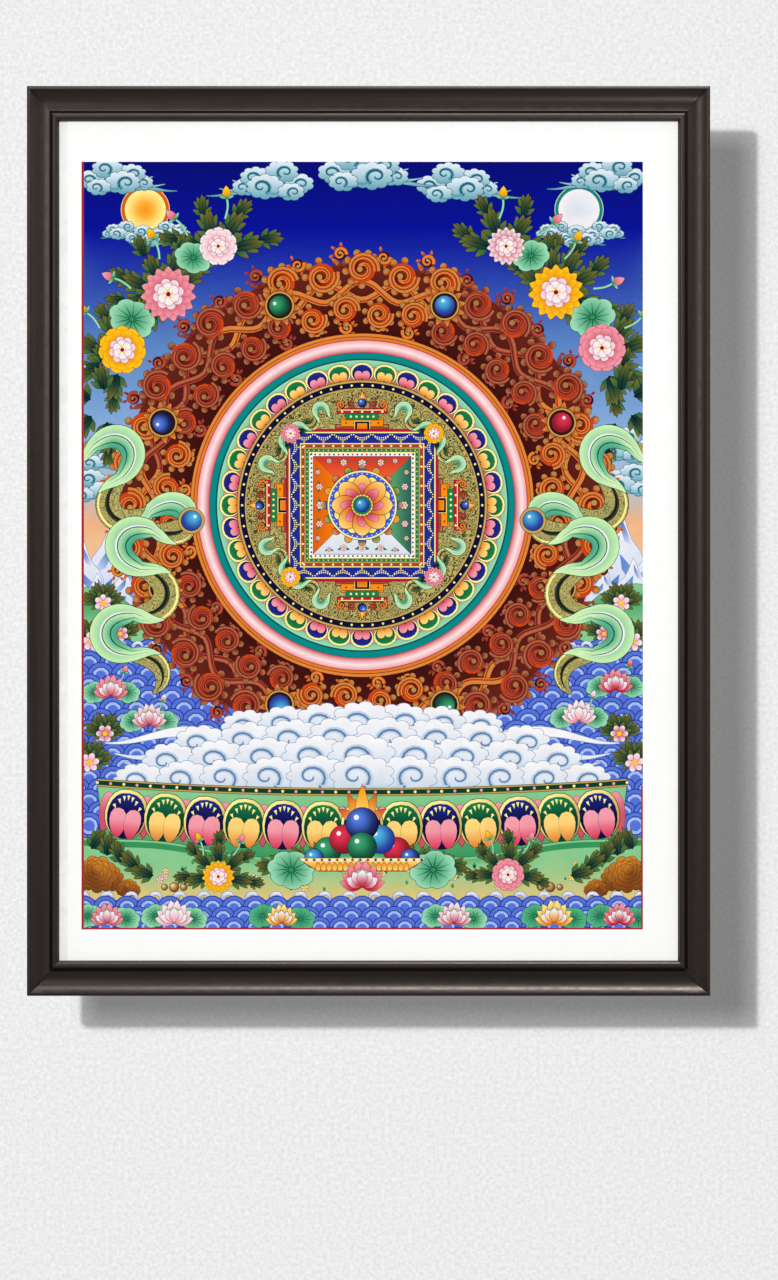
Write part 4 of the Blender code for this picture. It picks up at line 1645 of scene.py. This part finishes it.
def make_cloth():
    """Front points, then the edge's points again at the back; walls join them, one face closes it.
    In the map for baking the front fills all but a strip at the foot, which holds the plain faces."""
    loop = boundary_loop(flat)
    count, rim = len(flat), len(loop)
    middle_x, middle_z = 0.5 * (CLOTH_LOW[0] + CLOTH_HIGH[0]), 0.5 * (CLOTH_LOW[2] + CLOTH_HIGH[2])
    every = np.concatenate([flat, flat[loop]])
    y = np.repeat([CLOTH_LOW[1], CLOTH_HIGH[1]], [count, rim])
    points = np.stack([middle_x + every[:, 0] * MM, y, middle_z + every[:, 1] * MM], axis=1)
    following, behind = np.roll(loop, -1), count + np.arange(rim)
    walls = np.stack([loop, behind, np.roll(behind, -1), following], axis=1)
    faces = triangles.tolist() + walls.tolist() + [behind[::-1].tolist()]
    cloth = add_mesh("painted_cloth_sheet", points, faces)
    rest = len(cloth.data.loops) - len(painted)
    colours = np.concatenate([painted, np.broadcast_to(linear(RAW_COTTON), (rest, 3))])
    colours = np.pad(colours, ((0, 0), (0, 1)), constant_values=1.0)
    set_attribute(cloth.data, "Paint", "FLOAT_COLOR", "CORNER", colours)
    brocade = np.pad(np.repeat(np.array(masks)[owner - 1], 3), (0, rest))
    set_attribute(cloth.data, "Brocade", "FLOAT", "CORNER", brocade)
    share = every / (WIDE, TALL) + 0.5
    front = share[triangles.ravel()] * (1.0, 1.0 - FRONT_FROM) + (0.0, FRONT_FROM)
    others = share[corner_points(cloth.data)[len(painted) :]] * (1.0, BAKE_STRIP)
    layer = cloth.data.uv_layers.new(name="OFBake")
    layer.data.foreach_set("uv", np.concatenate([front, others]).astype(np.float32).ravel())
    return cloth


cloth = make_cloth()
finish_piece(cloth, "painted_cloth")

# %% [markdown]
# ## Finishes from nodes
#
# Every finish is made of nodes: noise and waves that vary the colour, the gloss and a fine bump.
# A few small helpers keep the recipes short.  Patterns read Object coordinates, which are metres in
# the model's own frame, or a map stored on the piece where the grain follows its length.

# %% Helpers for node recipes


def new_material(name, roughness, specular):
    """A material and its shader, with the numbers that stay even."""
    material = bpy.data.materials.new(name)
    material.use_nodes = True
    shader = material.node_tree.nodes["Principled BSDF"]
    shader.inputs["Roughness"].default_value = roughness
    shader.inputs["Specular IOR Level"].default_value = specular
    return material, shader


def join(material, value, socket):
    """A link where the value is another node's output, and a plain setting where it isn't."""
    if isinstance(value, bpy.types.NodeSocket):
        material.node_tree.links.new(value, socket)
    else:
        socket.default_value = value


def add_node(material, kind, inputs, output=0, **settings):
    """Adds a node, sets its options and its inputs by name or number, and returns one output."""
    node = material.node_tree.nodes.new(kind)
    for key, value in settings.items():
        setattr(node, key, value)
    for key, value in inputs.items():
        join(material, value, node.inputs[key])
    return node.outputs[output]


def place_of(material, scale=(1.0, 1.0, 1.0), uv_map=""):
    """Coordinates on the piece in metres, multiplied by a scale along each axis."""
    if uv_map:
        start = add_node(material, "ShaderNodeUVMap", {}, uv_map=uv_map)
    else:
        start = add_node(material, "ShaderNodeTexCoord", {}, output="Object")
    return add_node(material, "ShaderNodeMapping", {"Vector": start, "Scale": scale})


def noise(material, place, detail, scale=1.0, rough=0.5):
    """Noise between 0 and 1."""
    inputs = {"Vector": place, "Scale": scale, "Detail": detail, "Roughness": rough}
    return add_node(material, "ShaderNodeTexNoise", inputs, output="Fac")


def between(material, value, low, high, to_low=0.0, to_high=1.0):
    """Stretches a value from one range to another and stops at the ends."""
    inputs = {"Value": value, "From Min": low, "From Max": high, "To Min": to_low, "To Max": to_high}
    return add_node(material, "ShaderNodeMapRange", inputs, clamp=True)


def maths(material, operation, first, second):
    """One sum on two values."""
    return add_node(material, "ShaderNodeMath", {0: first, 1: second}, operation=operation)


def mix(material, share, first, second, blend="MIX"):
    """Mixes two colours; the share is 0 for the first and 1 for the second."""
    inputs = {0: share, 6: first, 7: second}
    return add_node(material, "ShaderNodeMix", inputs, output=2, data_type="RGBA", blend_type=blend)


def rgba(r, g, b):
    """A screen colour as light, with full cover."""
    return (*linear(rgb(r, g, b)), 1.0)


def add_bump(material, shader, height, distance, strength):
    """Let a height tilt the surface, without moving it."""
    inputs = {"Height": height, "Distance": distance, "Strength": strength}
    bump = add_node(material, "ShaderNodeBump", inputs)
    join(material, bump, shader.inputs["Normal"])


def dress(piece, material):
    """Give the piece this material alone."""
    piece.data.materials.clear()
    piece.data.materials.append(material)


print("a screen's middle grey is", round(rgba(128, 128, 128)[0], 3), "of white as light")


# %% [markdown]
# ## The frame's stain and lacquer
#
# The frame is wood stained almost black-brown under a satin lacquer.  Up close the stain is
# streaky along the length of each rail, the pores are darker, and the lacquer is a little thinner
# and warmer on the crest and on the bead, where hands and cloths rub it; there it is also lighter
# as a painted highlight.  The groove and the bead's flank are painted almost black as shade.  The
# streaks read a map stored along each rail, so that they turn with it at the mitres.

# %% Stained wood


def make_frame_wood():
    """Stretched noise along the grain gives streaks and pores.  The crest and the bead are lighter,
    as worn lacquer and as a painted highlight; the groove and the bead's flank are painted shade.
    """
    material, shader = new_material("frame_wood", 0.4, specular=0.5)
    broad = noise(material, place_of(material, (3.0, 160.0, 1.0), uv_map="Grain"), detail=3.0)
    fine = noise(material, place_of(material, (18.0, 1400.0, 1.0), uv_map="Grain"), detail=4.0, rough=0.65)
    pores = between(material, fine, 0.56, 0.7)
    stain = mix(material, between(material, broad, 0.35, 0.68), rgba(33, 27, 25), rgba(44, 37, 34))
    stain = mix(material, maths(material, "MULTIPLY", pores, 0.55), stain, rgba(22, 17, 15))
    # Lighter, warmer crest and bead: worn lacquer and a painted highlight.
    wear_and_highlight = add_node(material, "ShaderNodeAttribute", {}, output="Fac", attribute_name="WearAndHighlight")
    patchy = between(material, noise(material, place_of(material, (40.0,) * 3), detail=4.0), 0.42, 0.66)
    rubbed_and_highlit = maths(material, "MULTIPLY", wear_and_highlight, between(material, patchy, 0.0, 1.0, 0.04, 0.22))
    stain = mix(material, rubbed_and_highlit, stain, rgba(86, 70, 61))
    # Painted shade: the groove and the bead's flank go almost black.
    groove_shade = add_node(material, "ShaderNodeAttribute", {}, output="Fac", attribute_name="PaintedGrooveShade")
    join(material, mix(material, groove_shade, stain, rgba(8, 6, 5)), shader.inputs["Base Color"])
    gloss = noise(material, place_of(material, (90.0,) * 3), detail=3.0)
    gloss = between(material, gloss, 0.3, 0.7, 0.3, 0.42)
    dulled = maths(material, "MULTIPLY", maths(material, "MAXIMUM", wear_and_highlight, groove_shade), 0.26)
    join(material, maths(material, "ADD", gloss, dulled), shader.inputs["Roughness"])
    join(material, (1.0, 0.84, 0.76, 1.0), shader.inputs["Specular Tint"])
    join(material, 0.05, shader.inputs["Coat Weight"])
    join(material, 0.22, shader.inputs["Coat Roughness"])
    height = maths(material, "SUBTRACT", maths(material, "MULTIPLY", broad, 0.4), pores)
    add_bump(material, shader, height, 0.05 * MM, 0.5)
    return material


frame_wood = make_frame_wood()
for rail in rails:
    dress(rail, frame_wood)
print("frame_wood on", len(rails), "rails")

# %% [markdown]
# ## The boards' card
#
# The white board is a smooth bleached card with the faintest tooth, and the one behind it is pale
# grey, mottled like felted paper.  Both are matt, so most of the work is done by fine bump.

# %% White card and grey card


def make_card(name, light, dark, speck, tooth):
    """Cloudy noise between two tones, dark specks where a fine noise is high, and a tooth from it."""
    material, shader = new_material(name, 0.8, specular=0.25)
    place = place_of(material)
    cloudy = noise(material, place, scale=60.0, detail=5.0, rough=0.6)
    grainy = noise(material, place, scale=900.0, detail=3.0, rough=0.7)
    tone = mix(material, between(material, cloudy, 0.3, 0.7), light, dark)
    tone = mix(material, maths(material, "MULTIPLY", between(material, grainy, 0.5, 0.75), speck), tone, dark)
    join(material, tone, shader.inputs["Base Color"])
    add_bump(material, shader, grainy, tooth, 0.6)
    return material


dress(mount_board, make_card("white_board", rgba(253, 253, 252), rgba(250, 250, 249), 0.3, 0.03 * MM))
dress(backing_board, make_card("grey_board", rgba(250, 250, 249), rgba(236, 236, 235), 0.8, 0.08 * MM))
print("each card has", len(mount_board.data.materials[0].node_tree.nodes), "nodes")

# %% [markdown]
# ## Paint on cotton
#
# Mineral paint lies on primed cotton in thin matt coats.  The colour is what the painter chose,
# stored at the corners; the pigment settles unevenly, so each coat is slightly cloudy.  The weave
# shows through it as a faint grid: single threads would be finer than a baked picture can hold, so
# the grid's ridges are a few threads wide.  The brocade behind the palace has gold curls drawn
# over it, which rings of a cell pattern give.

# %% Painted cotton
WEAVE_SCALE = 75.0


def gold_curls(material, place):
    """Rings round the middles of a cell pattern bent by noise: a band of distances from a middle."""
    bend = maths(material, "MULTIPLY", noise(material, place, scale=120.0, detail=1.0), 4.0 * MM)
    shift = add_node(material, "ShaderNodeCombineXYZ", {0: bend, 2: bend})
    warped = add_node(material, "ShaderNodeVectorMath", {0: place, 1: shift}, operation="ADD")
    inputs = {"Vector": warped, "Scale": 210.0, "Randomness": 0.75}
    cells = add_node(material, "ShaderNodeTexVoronoi", inputs, output="Distance")
    return between(material, maths(material, "PINGPONG", cells, 0.17), 0.055, 0.085)


def make_painted_cotton():
    """Stored colour, clouded by two sizes of noise, with a crossed wave bump for the weave."""
    material, shader = new_material("painted_cotton", 0.78, specular=0.2)
    place = place_of(material)
    paint_colour = add_node(material, "ShaderNodeAttribute", {}, output="Color", attribute_name="Paint")
    brocade = add_node(material, "ShaderNodeAttribute", {}, output="Fac", attribute_name="Brocade")
    curls = maths(material, "MULTIPLY", gold_curls(material, place), brocade)
    colour = mix(material, maths(material, "MULTIPLY", curls, 0.9), paint_colour, rgba(196, 178, 104))
    cloudy = noise(material, place, scale=55.0, detail=4.0, rough=0.6)
    grainy = noise(material, place, scale=1600.0, detail=2.0, rough=0.6)
    colour = mix(material, 1.0, colour, grey_of(material, cloudy, 0.94, 1.04), "MULTIPLY")
    colour = mix(material, 1.0, colour, grey_of(material, grainy, 0.95, 1.03), "MULTIPLY")
    join(material, colour, shader.inputs["Base Color"])
    join(material, between(material, cloudy, 0.3, 0.7, 0.72, 0.86), shader.inputs["Roughness"])
    ridges = maths(material, "MAXIMUM", weave(material, place, "X"), weave(material, place, "Z"))
    height = maths(material, "ADD", ridges, maths(material, "MULTIPLY", grainy, 0.8))
    add_bump(material, shader, height, 0.03 * MM, 0.5)
    return material


def weave(material, place, axis):
    """Ridges side by side along one axis, a little uneven, 2 pi / (20 * scale) metres apart."""
    inputs = {"Vector": place, "Scale": WEAVE_SCALE, "Distortion": 0.6, "Detail": 1.0, "Detail Scale": 0.4}
    return add_node(material, "ShaderNodeTexWave", inputs, output="Fac", bands_direction=axis)


def grey_of(material, value, dark, light):
    """A grey between two tones, as a colour."""
    tone = between(material, value, 0.3, 0.7, dark, light)
    return add_node(material, "ShaderNodeCombineColor", {0: tone, 1: tone, 2: tone})


dress(cloth, make_painted_cotton())
print("the paint has", len(cloth.data.materials[0].node_tree.nodes), "nodes")

# %% [markdown]
# ## Wall, floor and light
#
# Behind the frame is a pale, finely mottled wall.  In the photograph the shadow to the lower right
# keeps the frame's own outline, moved and with round soft corners, as it would if the frame hung
# well clear of the wall, so the wall stands behind it.  Two lamps light the wall alone: a small
# one gives the shadow its edge, and a wide one, further off, the paler margin inside that edge.
# The even grey of the shadow is a faint glow of the wall's own.  A soft light in front lights the
# picture; one above, one up on the left and a weak one low on the right draw the long satin
# highlights on the moulding, and one behind shows the back.

# %% A pale wall and a pale floor
WALL_REACH, WALL_BEHIND = 6.0, 0.2
WALL_GLOW, WHITE_LIGHT = 0.125, (1.0, 1.0, 1.0, 1.0)
FLOOR_BELOW = 1.2


def add_plane(name, corners):
    """One face that belongs to the stage, not to the object."""
    plane = add_mesh(name, np.array(corners), [[0, 1, 2, 3]])
    return plane


def add_wall():
    """A square behind the frame; seen from its own back it is clear."""
    r, y, z = WALL_REACH, WALL_BEHIND, MIDDLE[2]
    wall = add_plane("wall", [(-r, y, z - r), (r, y, z - r), (r, y, z + r), (-r, y, z + r)])
    material, shader = new_material("wall_plaster", 0.9, specular=0.1)
    place = place_of(material)
    mottle = noise(material, place, scale=240.0, detail=3.0, rough=0.7)
    tone = mix(material, between(material, mottle, 0.3, 0.7), rgba(140, 140, 140), rgba(160, 160, 160))
    join(material, tone, shader.inputs["Base Color"])
    join(material, WHITE_LIGHT, shader.inputs["Emission Color"])
    join(material, WALL_GLOW, shader.inputs["Emission Strength"])
    back = add_node(material, "ShaderNodeNewGeometry", {}, output="Backfacing")
    clear = add_node(material, "ShaderNodeBsdfTransparent", {})
    seen = add_node(material, "ShaderNodeMixShader", {0: back, 1: shader.outputs[0], 2: clear})
    join(material, seen, material.node_tree.nodes["Material Output"].inputs["Surface"])
    dress(wall, material)
    wall.visible_diffuse = wall.visible_glossy = wall.visible_transmission = wall.visible_shadow = False
    return wall


def add_floor():
    """A pale floor in front of the wall, below the photograph's view."""
    r, y, z = WALL_REACH, WALL_BEHIND, LOW[2] - FLOOR_BELOW
    floor = add_plane("floor", [(-r, -r, z), (r, -r, z), (r, y, z), (-r, y, z)])
    material, shader = new_material("floor_pale", 0.8, specular=0.2)
    mottle = noise(material, place_of(material), scale=40.0, detail=4.0)
    tone = mix(material, mottle, rgba(222, 222, 220), rgba(234, 234, 232))
    join(material, tone, shader.inputs["Base Color"])
    dress(floor, material)
    floor.visible_diffuse = floor.visible_glossy = False


wall = add_wall()
add_floor()
print("wall", WALL_BEHIND, "m behind the frame, floor", FLOOR_BELOW, "m below it")

# %% Lamps
SHADOW_RIGHT, SHADOW_DOWN = 53.6 * MM, 37.9 * MM
WALL_LIGHT = Vector((SHADOW_RIGHT, WALL_BEHIND + 0.5 * DEPTH, -SHADOW_DOWN))
WALL_LAMP_OUT = 18.0
SKY_LIGHT = 0.3


def add_lamp(name, kind, towards, energy, location=(0.0, -2.0, 1.0), **settings):
    """A lamp that shines along a direction; for a sun it doesn't matter where the lamp stands."""
    data = bpy.data.lights.new(name, kind)
    data.energy = energy
    lamp = bpy.data.objects.new(name, data)
    bpy.context.scene.collection.objects.link(lamp)
    lamp.location = location
    lamp.visible_camera = False
    lamp.rotation_euler = Vector(towards).to_track_quat("-Z", "Y").to_euler()
    for key, value in settings.items():
        setattr(data, key, value)
    return lamp


def light_only(lamp, pieces, leave_out=False):
    """The lamp lights only these pieces, or everything but them."""
    receivers = bpy.data.collections.new(lamp.name + "_receivers")
    for piece in pieces:
        receivers.objects.link(piece)
    lamp.light_linking.receiver_collection = receivers
    if leave_out:
        for entry in receivers.collection_objects:
            entry.light_linking.link_state = "EXCLUDE"


def add_softbox(name, across, y, height, wide, high, energy):
    """A rectangle of light that faces the picture's middle; its height is measured from there."""
    place = Vector((across, y, MIDDLE[2] + height))
    towards = PICTURE_MIDDLE - place
    return add_lamp(name, "AREA", towards, energy, location=place, shape="RECTANGLE", size=wide, size_y=high)


PICTURE_MIDDLE = Vector((MIDDLE[0], 0.0, MIDDLE[2]))
lamp_place = PICTURE_MIDDLE - WALL_LIGHT * (WALL_LAMP_OUT / WALL_LIGHT.y)
small = add_lamp("wall_lamp", "AREA", WALL_LIGHT, 4900.0, location=lamp_place, shape="DISK", size=0.5)
wide = add_lamp("wall_lamp_wide", "SUN", WALL_LIGHT, 2.4, angle=math.radians(10.0))
front = add_softbox("light_in_front", 0.0, -6.0, 0.5, 1.0, 1.0, 274.0)
front.visible_glossy = False
above = add_softbox("light_from_above", 0.45, -0.7, 2.0, 1.5, 0.5, 68.0)
left = add_softbox("light_from_left", -0.95, -1.6, 0.5, 0.8, 0.9, 7.5)
low = add_softbox("light_from_below", 0.6, -1.2, -0.3, 0.4, 0.4, 5.0)
behind = add_softbox("light_behind", 0.6, 3.0, 0.8, 1.0, 1.0, 38.0)
light_only(front, [wall, *rails], leave_out=True)
for lamp, pieces in (
    (small, [wall]), (wide, [wall]), (above, rails), (left, rails), (low, rails[:1]),
    (behind, [*rails, backing_board]),
):
    light_only(lamp, pieces)

world = bpy.data.worlds.new("studio")
world.use_nodes = True
sky_light = world.node_tree.nodes["Background"].inputs
sky_light["Color"].default_value = WHITE_LIGHT
sky_light["Strength"].default_value = SKY_LIGHT
bpy.context.scene.world = world
bpy.context.scene.view_settings.view_transform = "Standard"
print("lamps:", [lamp.name for lamp in (small, wide, front, above, left, low, behind)])
